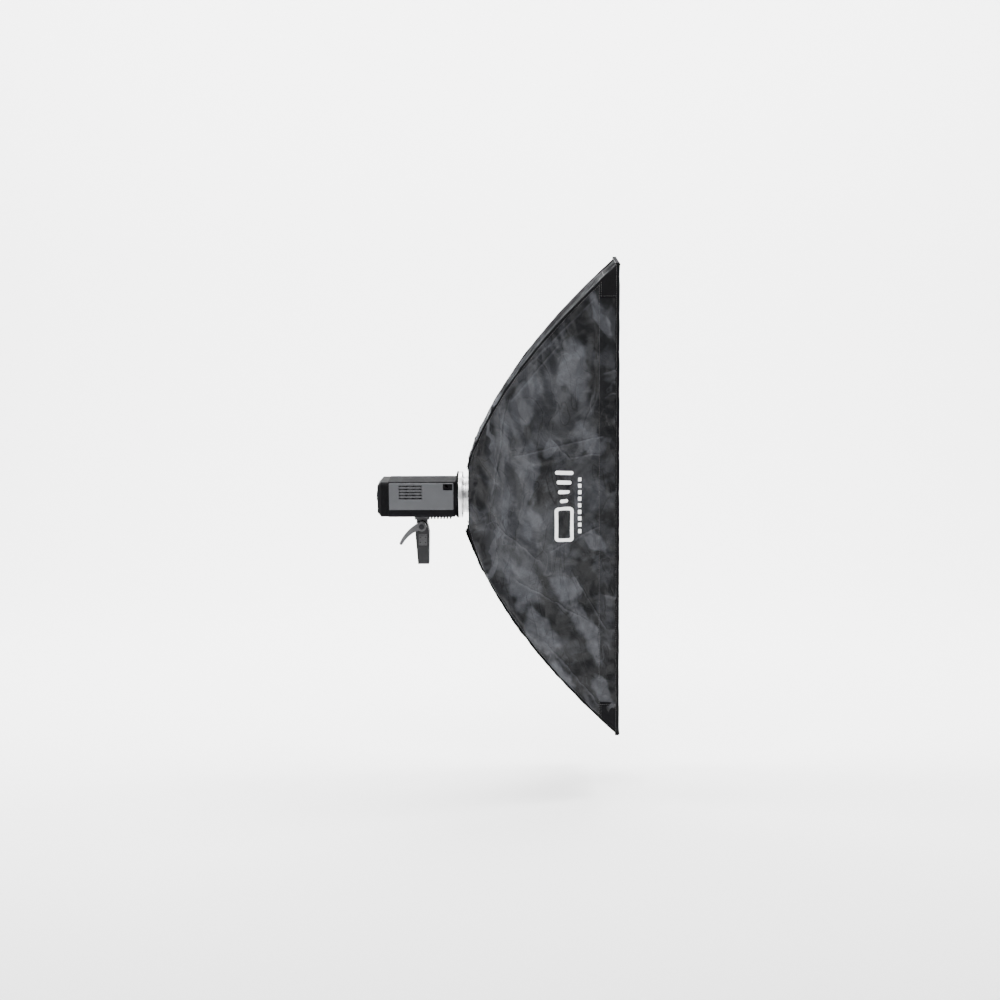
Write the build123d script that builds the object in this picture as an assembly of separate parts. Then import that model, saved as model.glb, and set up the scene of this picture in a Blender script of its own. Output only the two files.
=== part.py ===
"""Strip softbox on its battery flash head, with the tilting stand bracket that carries both.

Millimetres. The origin is the centre of the stand socket's mouth, under the bracket. +Z is up, along the
stand, and +X is the way the light points. The softbox's mouth is 1200 high and 300 wide.
"""
from build123d import *
from math import cos, radians, sin
import os

# ---------------------------------------------------------------- driving dimensions
AXIS_Z = 181.0            # optical axis above the stand socket's mouth
RING_X = 124.0            # rear plane of the softbox's rod ring
CLOTH = 1.0               # thickness of the black outer cloth, with its hems
LINING = 0.6              # thickness of the silver lining
GAP = 0.3                 # clearance between neighbouring soft layers

# The softbox's four edges follow one bowed curve, mirrored about both mid-planes. These are its control
# points as distance in front of the ring, half width and half height.
MOUTH_X = 379.0
EDGE = [(-3.0, 78.0, 78.0), (16.0, 92.0, 148.0), (80.0, 138.0, 336.0), (MOUTH_X, 150.0, 602.0)]
WIDTH_CURVE = [(x, y) for x, y, z in EDGE]
HEIGHT_CURVE = [(x, z) for x, y, z in EDGE]
REACH = 6.0               # how far a profile runs on past the mouth where a piece needs it
FAR = 900.0               # longer than anything here

# Rods and rod ring, measured from the ring's rear plane on the optical axis
ROD_R = 2.5
ROD = [(12.0, 53.2, 65.0), (12.0, 109.5, 134.0), (99.0, 118.5, 350.9), (371.0, 141.0, 583.0)]
SLEEVE_R, SLEEVE_BORE_R, SLEEVE_LENGTH = 4.5, 3.1, 26.0
TIP_R, TIP_LENGTH = 3.6, 9.0
ROD_RING_R, ROD_RING_BORE_R = 76.0, 50.0
ROD_RING_BACK, ROD_RING_FRONT = 0.5, 18.0

# Bayonet between the softbox and the flash head
NECK_R, NECK_BORE_R = 47.5, 43.0
LUG_COUNT, LUG_SPAN, LUG_TWIST = 3, 50.0, 22.0
MOUNT_RING_R = 60.5
MOUNT_BACK, MOUNT_WEB, MOUNT_FRONT = 93.7, 99.7, 103.7

# Diffusers
DIFFUSER_X = 331.0
BAFFLE_X, BAFFLE_HALF_WIDTH, BAFFLE_HALF_HEIGHT = 190.0, 100.0, 320.0
DIFFUSER_CLOTH = 1.0

# Flash head
HEAD_BACK, HEAD_FRONT = -87.0, 84.0
HEAD_HALF_WIDTH = 59.0
HEAD_BOTTOM, HEAD_TOP = 130.0, 222.0
HEAD_MID = (HEAD_BOTTOM + HEAD_TOP) / 2
HEAD_CORNER = 9.0
WALL = 2.5
REAR_X = -115.5
BATTERY = Box(166, 23, 69)      # its tub, before it is placed
BATTERY_X, BATTERY_Y, BATTERY_Z = -1.5, -46.5, 184.5
BAY_CLEARANCE = 0.4

# Stand bracket
PIVOT_X, PIVOT_Z = -3.0, 101.0
EAR_R, EAR_INNER, EAR_OUTER = 15.5, 9.8, 18.0
PIVOT_BORE_R, PIVOT_SHAFT_R = 4.05, 4.0
SOCKET_R, SOCKET_DEPTH = 8.15, 45.0
LINER_R = 10.5
KNOB_Z = 24.0


# ---------------------------------------------------------------- helpers
def save(name, shape):
    export_step(shape, f"parts/{name}.step")


def on_axis(shape):
    """Moves a shape drawn about the rod ring's centre to its place on the optical axis."""
    return Pos(RING_X, 0, AXIS_Z) * shape


def disc(r, x0, x1):
    """A cylinder along X, from x0 to x1."""
    return Pos((x0 + x1) / 2, 0, 0) * Rot(0, 90, 0) * Cylinder(r, x1 - x0)


def ring(outer, inner, x0, x1):
    return disc(outer, x0, x1) - disc(inner, x0 - 1, x1 + 1)


def post(r, x, y, z0, z1):
    """A cylinder along Z."""
    return Pos(x, y, (z0 + z1) / 2) * Cylinder(r, z1 - z0)


def pin(r, x, z, y0, y1):
    """A cylinder along Y."""
    return Pos(x, (y0 + y1) / 2, z) * Rot(90, 0, 0) * Cylinder(r, y1 - y0)


def block(x0, x1, y0, y1, z0, z1):
    return Pos((x0 + x1) / 2, (y0 + y1) / 2, (z0 + z1) / 2) * Box(x1 - x0, y1 - y0, z1 - z0)


def slab(x0, x1):
    """Everything between two planes across the optical axis."""
    return block(x0, x1, -FAR, FAR, -FAR, FAR)


def rounded(x0, x1, y0, y1, z0, z1, r):
    """A block whose edges along X are rounded."""
    return fillet(block(x0, x1, y0, y1, z0, z1).edges().filter_by(Axis.X), r)


def unit(dx, dy):
    length = (dx * dx + dy * dy) ** 0.5
    return dx / length, dy / length


def inset(curve, depth):
    """The control points of a profile, moved inwards by depth; a negative depth moves them outwards."""
    (ax, ay), (bx, by), (cx, cy), (ex, ey) = curve
    sx, sy = unit(bx - ax, by - ay)
    tx, ty = unit(ex - cx, ey - cy)
    start = (depth * sy, -depth * sx)
    end = (depth * ty, -depth * tx)
    return [(ax + start[0], ay + start[1]), (bx + start[0], by + start[1]),
            (cx + end[0], cy + end[1]), (ex + end[0], ey + end[1])]


def bezier_at(curve, t):
    weights = ((1 - t) ** 3, 3 * (1 - t) ** 2 * t, 3 * (1 - t) * t * t, t ** 3)
    return tuple(sum(w * p[k] for w, p in zip(weights, curve)) for k in range(len(curve[0])))


def half_at(curve, x):
    """The profile's half width at distance x, by halving the parameter's interval."""
    low, high = 0.0, 1.0
    for _ in range(40):
        middle = (low + high) / 2
        if bezier_at(curve, middle)[0] < x:
            low = middle
        else:
            high = middle
    return bezier_at(curve, low)[1]


def region(curve, depth, reach=0.0):
    """The whole profile, both sides of the axis, closed across its rear and its mouth."""
    upper = inset(curve, depth)
    tx, ty = unit(upper[3][0] - upper[2][0], upper[3][1] - upper[2][1])
    last = (upper[3][0] + reach * tx, upper[3][1] + reach * ty)
    lower = [(x, -y) for x, y in upper]
    edges = [Bezier(*upper), Bezier(*lower), Line(lower[0], upper[0])]
    if reach:
        edges += [Line(upper[3], last), Line(last, (last[0], -last[1])), Line((last[0], -last[1]), lower[3])]
    else:
        edges += [Line(upper[3], lower[3])]
    return make_face(edges)


def band(curve, outer, inner):
    """One side of the profile, between two depths."""
    a, b = inset(curve, outer), inset(curve, inner)
    return make_face([Bezier(*a), Line(a[3], b[3]), Bezier(*b), Line(b[0], a[0])])


def width_solid(depth, reach=0.0):
    return extrude(region(WIDTH_CURVE, depth, reach), FAR, both=True)


def height_solid(depth, reach=0.0):
    return extrude(Plane.XZ * region(HEIGHT_CURVE, depth, reach), FAR, both=True)


def box_solid(depth, reach=0.0):
    """The softbox as a full body, taken in by depth all round."""
    return width_solid(depth, reach) & height_solid(depth, reach)


def side_layer(side, outer, inner):
    """A layer over one tall side: side is -1 for the near one and +1 for the far one."""
    layer = extrude(band(WIDTH_CURVE, outer, inner), FAR, both=True) & height_solid(outer)
    layer &= slab(-20, MOUTH_X)
    return layer if side > 0 else mirror(layer, Plane.XZ)


def end_layer(end, outer, inner, clear):
    """A layer over one narrow end, between the two side layers: end is +1 for the top one."""
    layer = extrude(Plane.XZ * band(HEIGHT_CURVE, outer, inner), FAR, both=True) & width_solid(clear)
    layer &= slab(-20, MOUTH_X)
    return layer if end > 0 else mirror(layer, Plane.XY)


def corners():
    """The four corners of the softbox, as name, side and end."""
    return [("top_near", -1, 1), ("top_far", 1, 1), ("bottom_near", -1, -1), ("bottom_far", 1, -1)]


def to_corner(shape, side, end):
    """Mirrors a shape drawn in the +Y +Z corner to another corner."""
    shape = shape if side > 0 else mirror(shape, Plane.XZ)
    return shape if end > 0 else mirror(shape, Plane.XY)


# ---------------------------------------------------------------- softbox: cloth
ACCESS_X, ACCESS_START, ACCESS_HALF_WIDTH = 27.0, 84.0, 62.0


def access_opening(end):
    """The gap in an end's cloth and lining through which the rods go into their sockets."""
    gap = block(-20, ACCESS_X, -ACCESS_HALF_WIDTH, ACCESS_HALF_WIDTH, ACCESS_START, FAR)
    return gap if end > 0 else mirror(gap, Plane.XY)


def outer_cloth():
    for name, side in (("side_panel_near", -1), ("side_panel_far", 1)):
        save(name, on_axis(side_layer(side, 0, CLOTH)))
    for name, end in (("end_panel_top", 1), ("end_panel_bottom", -1)):
        save(name, on_axis(end_layer(end, 0, CLOTH, CLOTH + GAP) - access_opening(end)))


def silver_lining():
    outer = CLOTH + 2 * GAP
    inner = outer + LINING
    layers = [side_layer(side, outer, inner) for side in (-1, 1)]
    layers += [end_layer(end, outer, inner, inner + GAP) - access_opening(end) for end in (1, -1)]
    save("silver_lining", on_axis(Compound([s for layer in layers for s in layer.solids()])))


def rear_collar():
    """The cloth that closes the back round the neck."""
    half = EDGE[0][1] - 0.5
    back = EDGE[0][0] - 0.2 - CLOTH
    plate = rounded(back, back + CLOTH, -half, half, -half, half, 14)
    save("rear_collar", on_axis(plate - disc(NECK_R + 1.5, back - 1, back + 5)))


FLAP_DEPTHS = (-3.2, -2.0)
FLAP_END_X = 56.0
FLAP_HEM = 3.0


def rear_flaps():
    """Two hook-and-loop flaps that close the back over the rod sockets. Each is sewn along its outer end."""
    flap = extrude(Plane.XZ * band(HEIGHT_CURVE, *FLAP_DEPTHS), FAR, both=True) & width_solid(FLAP_HEM)
    flap &= slab(-20, FLAP_END_X)
    save("rear_flap_top", on_axis(flap))
    save("rear_flap_bottom", on_axis(mirror(flap, Plane.XY)))


def front_binding():
    """The tape folded over the mouth's edge, in four lengths that butt near the corners."""
    tape = (box_solid(-2.0, REACH) - box_solid(4.2, REACH)) & slab(371, MOUTH_X + 2)
    slot = (box_solid(-GAP, REACH) - box_solid(CLOTH + LINING + 3 * GAP, REACH)) & slab(360, MOUTH_X + 0.5)
    butt, half_gap = EDGE[3][1] - 10, 0.05
    middle = block(-FAR, FAR, half_gap - butt, butt - half_gap, -FAR, FAR)
    outer = block(-FAR, FAR, -butt - half_gap, butt + half_gap, -FAR, FAR)
    lengths = ((tape - slot) & middle).solids() + ((tape - slot) - outer).solids()
    save("front_binding", on_axis(Compound(lengths)))


def corner_pockets():
    """Webbing pockets that take the rods' tips."""
    start, along_side, along_end = 332.0, 42.0, 36.0
    skin = (box_solid(-4.4, REACH) - box_solid(-2.3, REACH)) & slab(start, MOUTH_X + 3)
    tall, wide = half_at(HEIGHT_CURVE, start), EDGE[3][1]
    corner = block(start, FAR, wide - along_end, FAR, tall - along_side, FAR)
    pocket = skin & corner
    solids = [s for _, side, end in corners() for s in to_corner(pocket, side, end).solids()]
    save("corner_pockets", on_axis(Compound(solids)))


# ---------------------------------------------------------------- softbox: diffusers
HOOK_START, HOOK_END = 322.0, 346.0
HOOK_DEPTHS = (2.6, 4.0)
HEM_DEPTHS = (4.5, 5.5)
CORNER_NOTCH = 18.0


def notches(x, size):
    """Blocks that clear the rods at the four corners of a plane across the softbox."""
    wide, tall = half_at(WIDTH_CURVE, x), half_at(HEIGHT_CURVE, x)
    notch = block(x - 40, x + 40, wide - size, FAR, tall - size, FAR)
    return [to_corner(notch, side, end) for _, side, end in corners()]


def edge_strips(depths, x0, x1):
    """Strips along the four inner faces, stopping short of the rods."""
    frame = (box_solid(depths[0]) - box_solid(depths[1])) & slab(x0, x1)
    for notch in notches(x0, CORNER_NOTCH):
        frame -= notch
    return frame


def hook_tape():
    save("hook_tape", on_axis(edge_strips(HOOK_DEPTHS, HOOK_START, HOOK_END)))


def front_diffuser():
    plate = box_solid(HEM_DEPTHS[0]) & slab(DIFFUSER_X - DIFFUSER_CLOTH, DIFFUSER_X)
    for notch in notches(DIFFUSER_X, CORNER_NOTCH):
        plate -= notch
    hem = edge_strips(HEM_DEPTHS, DIFFUSER_X + 0.1, HOOK_END - 1)
    save("front_diffuser", on_axis(Compound(plate.solids() + hem.solids())))


def inner_baffle():
    w, h = BAFFLE_HALF_WIDTH, BAFFLE_HALF_HEIGHT
    save("inner_baffle", on_axis(rounded(BAFFLE_X - DIFFUSER_CLOTH, BAFFLE_X, -w, w, -h, h, 12)))


def baffle_straps():
    """Elastic straps from the baffle's corners to the seams, each with a press stud at both ends."""
    strap_width, strap_thickness, stud_r, stud_height = 12.0, 0.8, 5.0, 2.0
    inner = (BAFFLE_HALF_WIDTH - 12, BAFFLE_HALF_HEIGHT - 12)
    outer = (half_at(WIDTH_CURVE, BAFFLE_X) - 14, half_at(HEIGHT_CURVE, BAFFLE_X) - 14)
    dy, dz = outer[0] - inner[0], outer[1] - inner[1]
    length = (dy * dy + dz * dz) ** 0.5
    direction = Plane(origin=(BAFFLE_X + 0.3, inner[0], inner[1]), x_dir=(0, dy, dz), z_dir=(1, 0, 0))
    strap = Pos(length / 2, 0, strap_thickness / 2) * Box(length, strap_width, strap_thickness)
    studs = [Pos(along, 0, strap_thickness + stud_height / 2) * Cylinder(stud_r, stud_height)
             for along in (7, length - 7)]
    whole = direction * (strap + studs[0] + studs[1])
    solids = [s for _, side, end in corners() for s in to_corner(whole, side, end).solids()]
    save("baffle_straps", on_axis(Compound(solids)))


# ---------------------------------------------------------------- softbox: rods and rod ring
def rod_direction():
    return tuple(b - a for a, b in zip(ROD[0], ROD[1]))


def socket_plane(back):
    """A plane at a rod's socket, facing along the rod, that far back from the socket's mouth."""
    dx, dy, dz = rod_direction()
    length = (dx * dx + dy * dy + dz * dz) ** 0.5
    origin = tuple(p - back * d / length for p, d in zip(ROD[0], (dx, dy, dz)))
    return Plane(origin=origin, z_dir=(dx, dy, dz))


def rods():
    start = socket_plane(SLEEVE_LENGTH - 2)
    path = Wire([Edge.make_line(start.origin, ROD[0]), Edge.make_bezier(*ROD)])
    rod = sweep(start * Circle(ROD_R), path=path)
    solids = [s for _, side, end in corners() for s in to_corner(rod, side, end).solids()]
    save("rods", on_axis(Compound(solids)))


def rod_tips():
    """Rounded caps on the rods' ends, inside the corner pockets."""
    dx, dy, dz = (b - a for a, b in zip(ROD[2], ROD[3]))
    seat = Plane(origin=ROD[3], z_dir=(dx, dy, dz))
    cap = fillet(Cylinder(TIP_R, TIP_LENGTH).edges().sort_by(Axis.Z)[-1], TIP_R * 0.8)
    bore = Pos(0, 0, -TIP_LENGTH / 2) * Cylinder(ROD_R + 0.05, TIP_LENGTH)
    tip = seat * (cap - bore)
    solids = [s for _, side, end in corners() for s in to_corner(tip, side, end).solids()]
    save("rod_tips", on_axis(Compound(solids)))


def socket_sleeves():
    sleeve = Cylinder(SLEEVE_R, SLEEVE_LENGTH) - Cylinder(SLEEVE_BORE_R, SLEEVE_LENGTH + 1)
    placed = socket_plane(SLEEVE_LENGTH / 2) * sleeve
    solids = [s for _, side, end in corners() for s in to_corner(placed, side, end).solids()]
    save("socket_sleeves", on_axis(Compound(solids)))


LOCK_SCREW_R = 3.0
LOCK_X = (ROD_RING_BACK + ROD_RING_FRONT) / 2


def rod_ring():
    """Aluminium ring that turns on the adapter and carries the four rod sockets."""
    body = ring(ROD_RING_R, ROD_RING_BORE_R, ROD_RING_BACK, ROD_RING_FRONT)
    body = chamfer(body.edges().filter_by(GeomType.CIRCLE).sort_by(SortBy.RADIUS)[-2:], 1.5)
    socket = socket_plane(SLEEVE_LENGTH / 2) * Cylinder(SLEEVE_R + 0.05, SLEEVE_LENGTH + 0.2)
    for _, side, end in corners():
        body -= to_corner(socket, side, end)
    for end in (1, -1):
        body -= Pos(LOCK_X, 0, end * 63) * Cylinder(LOCK_SCREW_R + 0.05, 40)
    pockets = [Pos(LOCK_X, 0, 0) * Rot(angle, 0, 0) * Pos(0, 63, 0) * Box(9, 12, 34) for angle in (0, 180)]
    save("rod_ring", on_axis(body - pockets[0] - pockets[1]))


def bayonet_adapter():
    """Neck with three lugs that locks into the flash head, and the hub that the rod ring turns on."""
    front = ROD_RING_FRONT + 0.3
    body = disc(NECK_R, -20.0, -3.0) + disc(NECK_R - 1.6, -3.0, -0.3) + disc(ROD_RING_BORE_R - 0.06, -0.3, front)
    body += disc(60.0, front, front + 3.7)
    body += disc(45.6, -28.5, -20.0)
    groove = ring(NECK_R + 2, NECK_R - 2.2, -17.5, -11.0)
    body -= fillet(groove.edges().filter_by(GeomType.CIRCLE).group_by(SortBy.RADIUS)[0], 1.8)
    lug = (ring(49.8, 45.0, -28.5, -24.6)
           & extrude(Plane.YZ * make_face(Polyline((0, 0), (80 * cos(radians(LUG_SPAN / 2)),
                                                            80 * sin(radians(LUG_SPAN / 2))),
                                                   (80 * cos(radians(LUG_SPAN / 2)),
                                                    -80 * sin(radians(LUG_SPAN / 2))), (0, 0))),
                     60, both=True))
    for k in range(LUG_COUNT):
        body += Rot(90 + k * 360 / LUG_COUNT, 0, 0) * lug
    save("bayonet_adapter", on_axis(body - disc(NECK_BORE_R, -40, 40)))


def retaining_clip():
    clip = ring(54.0, NECK_R - 1.4, -2.6, -0.7)
    save("retaining_clip", on_axis(clip - block(-5, 5, -4, 4, -60, -40)))


def lock_knobs():
    """Knurled thumb screws that stop the rod ring turning."""
    head_r, head_low, head_high, lobes = 6.5, 76.5, 86.5, 12
    knob = post(head_r, LOCK_X, 0, head_low, head_high) + post(LOCK_SCREW_R - 0.05, LOCK_X, 0, 51.0, head_low)
    for k in range(lobes):
        angle = radians(k * 360 / lobes)
        knob -= post(1.2, LOCK_X + head_r * cos(angle), head_r * sin(angle), head_low + 3, head_high + 1)
    save("lock_knob_top", on_axis(knob))
    save("lock_knob_bottom", on_axis(mirror(knob, Plane.XY)))


# ---------------------------------------------------------------- flash head: front
def mount_ring():
    """Silver bayonet ring on the head: a web with three slots, and a space behind it where the lugs turn."""
    body = ring(MOUNT_RING_R, 51.0, MOUNT_BACK, MOUNT_WEB) + ring(MOUNT_RING_R, 46.0, MOUNT_WEB, MOUNT_FRONT)
    rims = body.edges().filter_by(GeomType.CIRCLE).group_by(SortBy.RADIUS)[-1]
    body = fillet(rims, 1.4)
    half = radians(LUG_SPAN / 2 + 3)
    wedge = extrude(Plane.YZ * make_face(Polyline((0, 0), (80 * cos(half), 80 * sin(half)),
                                                  (80 * cos(half), -80 * sin(half)), (0, 0))), 300, both=True)
    slot = ring(50.5, 45.0, MOUNT_WEB - 1, MOUNT_FRONT + 1) & wedge
    for k in range(LUG_COUNT):
        body -= Rot(90 + LUG_TWIST + k * 360 / LUG_COUNT, 0, 0) * slot
    save("mount_ring", Pos(0, 0, AXIS_Z) * body)


def front_collar():
    """Black collar that swells from the housing's square section to the round mount."""
    back = Plane.YZ.offset(HEAD_FRONT + 0.3) * Pos(0, HEAD_MID) * RectangleRounded(
        2 * HEAD_HALF_WIDTH, HEAD_TOP - HEAD_BOTTOM, HEAD_CORNER)
    front = Plane.YZ.offset(MOUNT_BACK - 4) * Pos(0, AXIS_Z) * Circle(MOUNT_RING_R)
    body = loft([back, front]) + Pos(0, 0, AXIS_Z) * disc(MOUNT_RING_R, MOUNT_BACK - 4, MOUNT_BACK - 0.2)
    body -= Pos(0, 0, AXIS_Z) * disc(40.5, 0, 200)
    body -= Pos(0, 0, AXIS_Z) * disc(52.0, MOUNT_BACK - 5, MOUNT_BACK + 5)
    body -= block(85.0, 90.2, 54, 90, 171, 191)
    save("front_collar", body)


def mount_latch():
    """Slide on the collar's far side that frees the bayonet."""
    latch = block(85.3, 89.9, 54.3, 62.5, 173, 186)
    save("mount_latch", fillet(latch.edges().filter_by(Axis.X), 1.2))


def light_source():
    dome = disc(37.0, 91.5, 141.0)
    dome = fillet(dome.edges().filter_by(GeomType.CIRCLE).sort_by(Axis.X)[-1], 30)
    hollow = fillet(disc(35.0, 80, 139.0).edges().filter_by(GeomType.CIRCLE).sort_by(Axis.X)[-1], 28)
    save("glass_dome", Pos(0, 0, AXIS_Z) * (dome - hollow))
    save("tube_socket", Pos(0, 0, AXIS_Z) * (disc(34.0, 87.0, 91.0) + disc(40.2, 84.6, 87.0)
                                             - disc(10.0, 86.0, 100.0)))
    tube_path = Plane.YZ.offset(112.0) * CenterArc((0, 0), 24.0, 105, 330)
    ends = [tube_path @ 0, tube_path @ 1]
    tube = sweep(Plane(origin=ends[0], z_dir=tube_path % 0) * Circle(4.0), path=tube_path)
    for point in ends:
        tube += Pos(0, point.Y, point.Z) * disc(4.0, 91.2, 112.0)
    save("flash_tube", Pos(0, 0, AXIS_Z) * tube)
    lamp = disc(9.0, 86.3, 100.0) + Pos(100.0, 0, 0) * Sphere(9.6) + disc(5.0, 100.0, 112.0)
    save("modelling_lamp", Pos(0, 0, AXIS_Z) * lamp)


# ---------------------------------------------------------------- flash head: housing
def bay(grow):
    size = BATTERY.bounding_box().size
    return Pos(BATTERY_X, BATTERY_Y - 15, BATTERY_Z) * Box(
        size.X + 2 * grow, size.Y + 2 * grow + 30, size.Z + 2 * grow)


def housings():
    """Two half shells that meet on the optical axis's level, with the battery bay let into the near side."""
    outer = rounded(HEAD_BACK, HEAD_FRONT, -HEAD_HALF_WIDTH, HEAD_HALF_WIDTH, HEAD_BOTTOM, HEAD_TOP, HEAD_CORNER)
    inner = rounded(HEAD_BACK - 1, HEAD_FRONT + 1, WALL - HEAD_HALF_WIDTH, HEAD_HALF_WIDTH - WALL,
                    HEAD_BOTTOM + WALL, HEAD_TOP - WALL, HEAD_CORNER - WALL)
    tray = bay(BAY_CLEARANCE + 1.6) & outer
    whole = (outer - inner + tray) - bay(BAY_CLEARANCE)
    panel_recess = block(-80, 74, 57.5, 60, 148, 214)
    whole -= panel_recess
    slits = [block(-50, 10, 50, 60, z, z + 3.6) for z in (158, 166, 174, 182, 190)]
    for slit in slits:
        whole -= slit
    parting = 0.15
    deck = chamfer(block(-57, 78, -44, 44, HEAD_TOP - 1, HEAD_TOP + 6).faces().sort_by(Axis.Z)[-1].edges(), 3.5)
    save("upper_housing", whole & block(-FAR, FAR, -FAR, FAR, AXIS_Z + parting, FAR) + deck)
    save("lower_housing", whole & block(-FAR, FAR, -FAR, FAR, -FAR, AXIS_Z - parting))


def far_side_plate():
    plate = block(-79.5, 73.5, 57.7, 60.2, 148.5, 213.5)
    plate = fillet(plate.edges().filter_by(Axis.Y), 2.0)
    for z in (158, 166, 174, 182, 190):
        plate -= block(-50, 10, 50, 70, z, z + 3.6)
    save("far_side_plate", plate)


def underside_grille():
    """Ribbed air outlet under the front of the head."""
    base = block(19.5, 78, -36, 36, HEAD_BOTTOM - 3.1, HEAD_BOTTOM - 0.1)
    for k in range(7):
        base += block(21 + k * 8.2, 25 + k * 8.2, -34, 34, HEAD_BOTTOM - 8.5, HEAD_BOTTOM - 3)
    save("underside_grille", base)


def rear_bezel():
    """Rear casing, cut back at all four edges, with a window for the control panel."""
    z0, z1 = HEAD_BOTTOM + 1, HEAD_TOP - 1
    slope, width, height = 10.0, 2 * HEAD_HALF_WIDTH, z1 - z0
    body = rounded(REAR_X + slope, HEAD_BACK - 0.3, -HEAD_HALF_WIDTH, HEAD_HALF_WIDTH, z0, z1, HEAD_CORNER)
    broad = Plane.YZ.offset(REAR_X + slope) * Pos(0, HEAD_MID) * RectangleRounded(width, height, HEAD_CORNER)
    small = Plane.YZ.offset(REAR_X) * Pos(0, HEAD_MID) * RectangleRounded(
        width - 2 * slope, height - 2 * slope, HEAD_CORNER - 3)
    body += loft([small, broad])
    inner = rounded(REAR_X + 8, HEAD_BACK + 5, -50, 50, z0 + 11, z1 - 11, 4)
    window = rounded(REAR_X - 5, REAR_X + 20, -44, 44, z0 + 14, z1 - 14, 4)
    save("rear_bezel", body - inner - window)


PANEL_BACK, PANEL_FRONT = REAR_X + 3.0, REAR_X + 6.5
BUTTONS = [("button_mode", 32, 152.5), ("button_group", 17, 152.5),
           ("button_lamp", 2, 152.5), ("button_test", -13, 152.5)]
BUTTON_R = 4.6
DIAL_Y, DIAL_Z, DIAL_R, DIAL_REACH = -26.0, 182.0, 14.0, 5.4
POWER_Y, POWER_Z = -33.0, 152.5


def rear_panel():
    plate = rounded(PANEL_BACK, PANEL_FRONT, -43.7, 43.7, 145.3, 206.7, 3.7)
    plate -= block(PANEL_BACK - 1, PANEL_BACK + 1.6, -4.2, 36.2, 160.8, 200.2)
    for _, y, z in BUTTONS:
        plate -= Pos(0, y, z) * disc(BUTTON_R + 0.15, PANEL_BACK - 2, PANEL_FRONT + 2)
    plate -= Pos(0, DIAL_Y, DIAL_Z) * disc(4.1, PANEL_BACK - 2, PANEL_FRONT + 2)
    plate -= block(PANEL_BACK - 2, PANEL_FRONT + 2, POWER_Y - 6.3, POWER_Y + 6.3, POWER_Z - 4.6, POWER_Z + 4.6)
    save("rear_panel", plate)


def display_window():
    save("display_window", rounded(PANEL_BACK - 0.4, PANEL_BACK + 1.5, -4, 36, 161, 200, 2))


def controls():
    for name, y, z in BUTTONS:
        cap = disc(BUTTON_R, PANEL_BACK - 2.0, PANEL_FRONT + 2.0)
        cap = fillet(cap.edges().filter_by(GeomType.CIRCLE).sort_by(Axis.X)[0], 1.0)
        save(name, Pos(0, y, z) * cap)
    dial = disc(DIAL_R, PANEL_BACK - DIAL_REACH, PANEL_BACK - 0.4)
    dial = chamfer(dial.edges().filter_by(GeomType.CIRCLE).sort_by(Axis.X)[0], 1.6)
    for k in range(24):
        dial -= Rot(k * 15, 0, 0) * Pos(PANEL_BACK - DIAL_REACH / 2, 0, DIAL_R) * Box(3.4, 1.5, 1.6)
    dial += disc(4.0, PANEL_BACK - 0.4, PANEL_FRONT + 3)
    save("control_dial", Pos(0, DIAL_Y, DIAL_Z) * dial)
    rocker = pin(7.0, 3.2, 0, -5.9, 5.9) & block(-4.2, 6, -6, 6, -3.5, 3.5)
    save("power_rocker", Pos(PANEL_BACK + 1.5, POWER_Y, POWER_Z) * rocker)


# ---------------------------------------------------------------- flash head: inside
FAN_X, FAN_Y, FAN_Z, FAN_HALF = -20.0, 50.0, 176.0, 30.0


def fan():
    """Cooling fan behind the louvres of the far side."""
    frame = block(FAN_X - FAN_HALF, FAN_X + FAN_HALF, FAN_Y - 6, FAN_Y + 6, FAN_Z - FAN_HALF, FAN_Z + FAN_HALF)
    frame -= pin(28.5, FAN_X, FAN_Z, FAN_Y - 7, FAN_Y + 7)
    frame += pin(9.0, FAN_X, FAN_Z, FAN_Y - 6, FAN_Y - 5)
    for angle in (45, 135):
        spoke = Pos(FAN_X, FAN_Y - 5.5, FAN_Z) * Rot(0, angle, 0) * Box(2.5, 1, 59)
        frame += spoke
    save("fan_frame", frame)
    rotor = pin(10.0, FAN_X, FAN_Z, FAN_Y - 4.5, FAN_Y + 5)
    for k in range(7):
        rotor += Pos(FAN_X, FAN_Y, FAN_Z) * Rot(90, 0, 0) * Rot(0, 0, k * 360 / 7) * Pos(
            18.5, 0, 0) * Rot(32, 0, 0) * Box(18, 9, 1.4)
    save("fan_rotor", rotor)


def electronics():
    places = [(-14, 152), (-14, 187), (20, 152)]
    save("capacitors", Compound([s for y, z in places
                                 for s in (Pos(-30, y, z) * Rot(0, 90, 0) * Cylinder(15.5, 78)).solids()]))
    board = block(-76, 74, -29, 41, 208.0, 209.6)
    for x, y, w, d, h in ((-40, 22, 28, 22, 6), (0, 0, 34, 26, 5), (48, 14, 22, 30, 9), (40, -20, 30, 12, 4)):
        board += block(x - w / 2, x + w / 2, y - d / 2, y + d / 2, 208.2 - h, 208.2)
    save("main_board", board)


# ---------------------------------------------------------------- battery
LATCH_X, LATCH_Z = 67.0, 209.0


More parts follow.
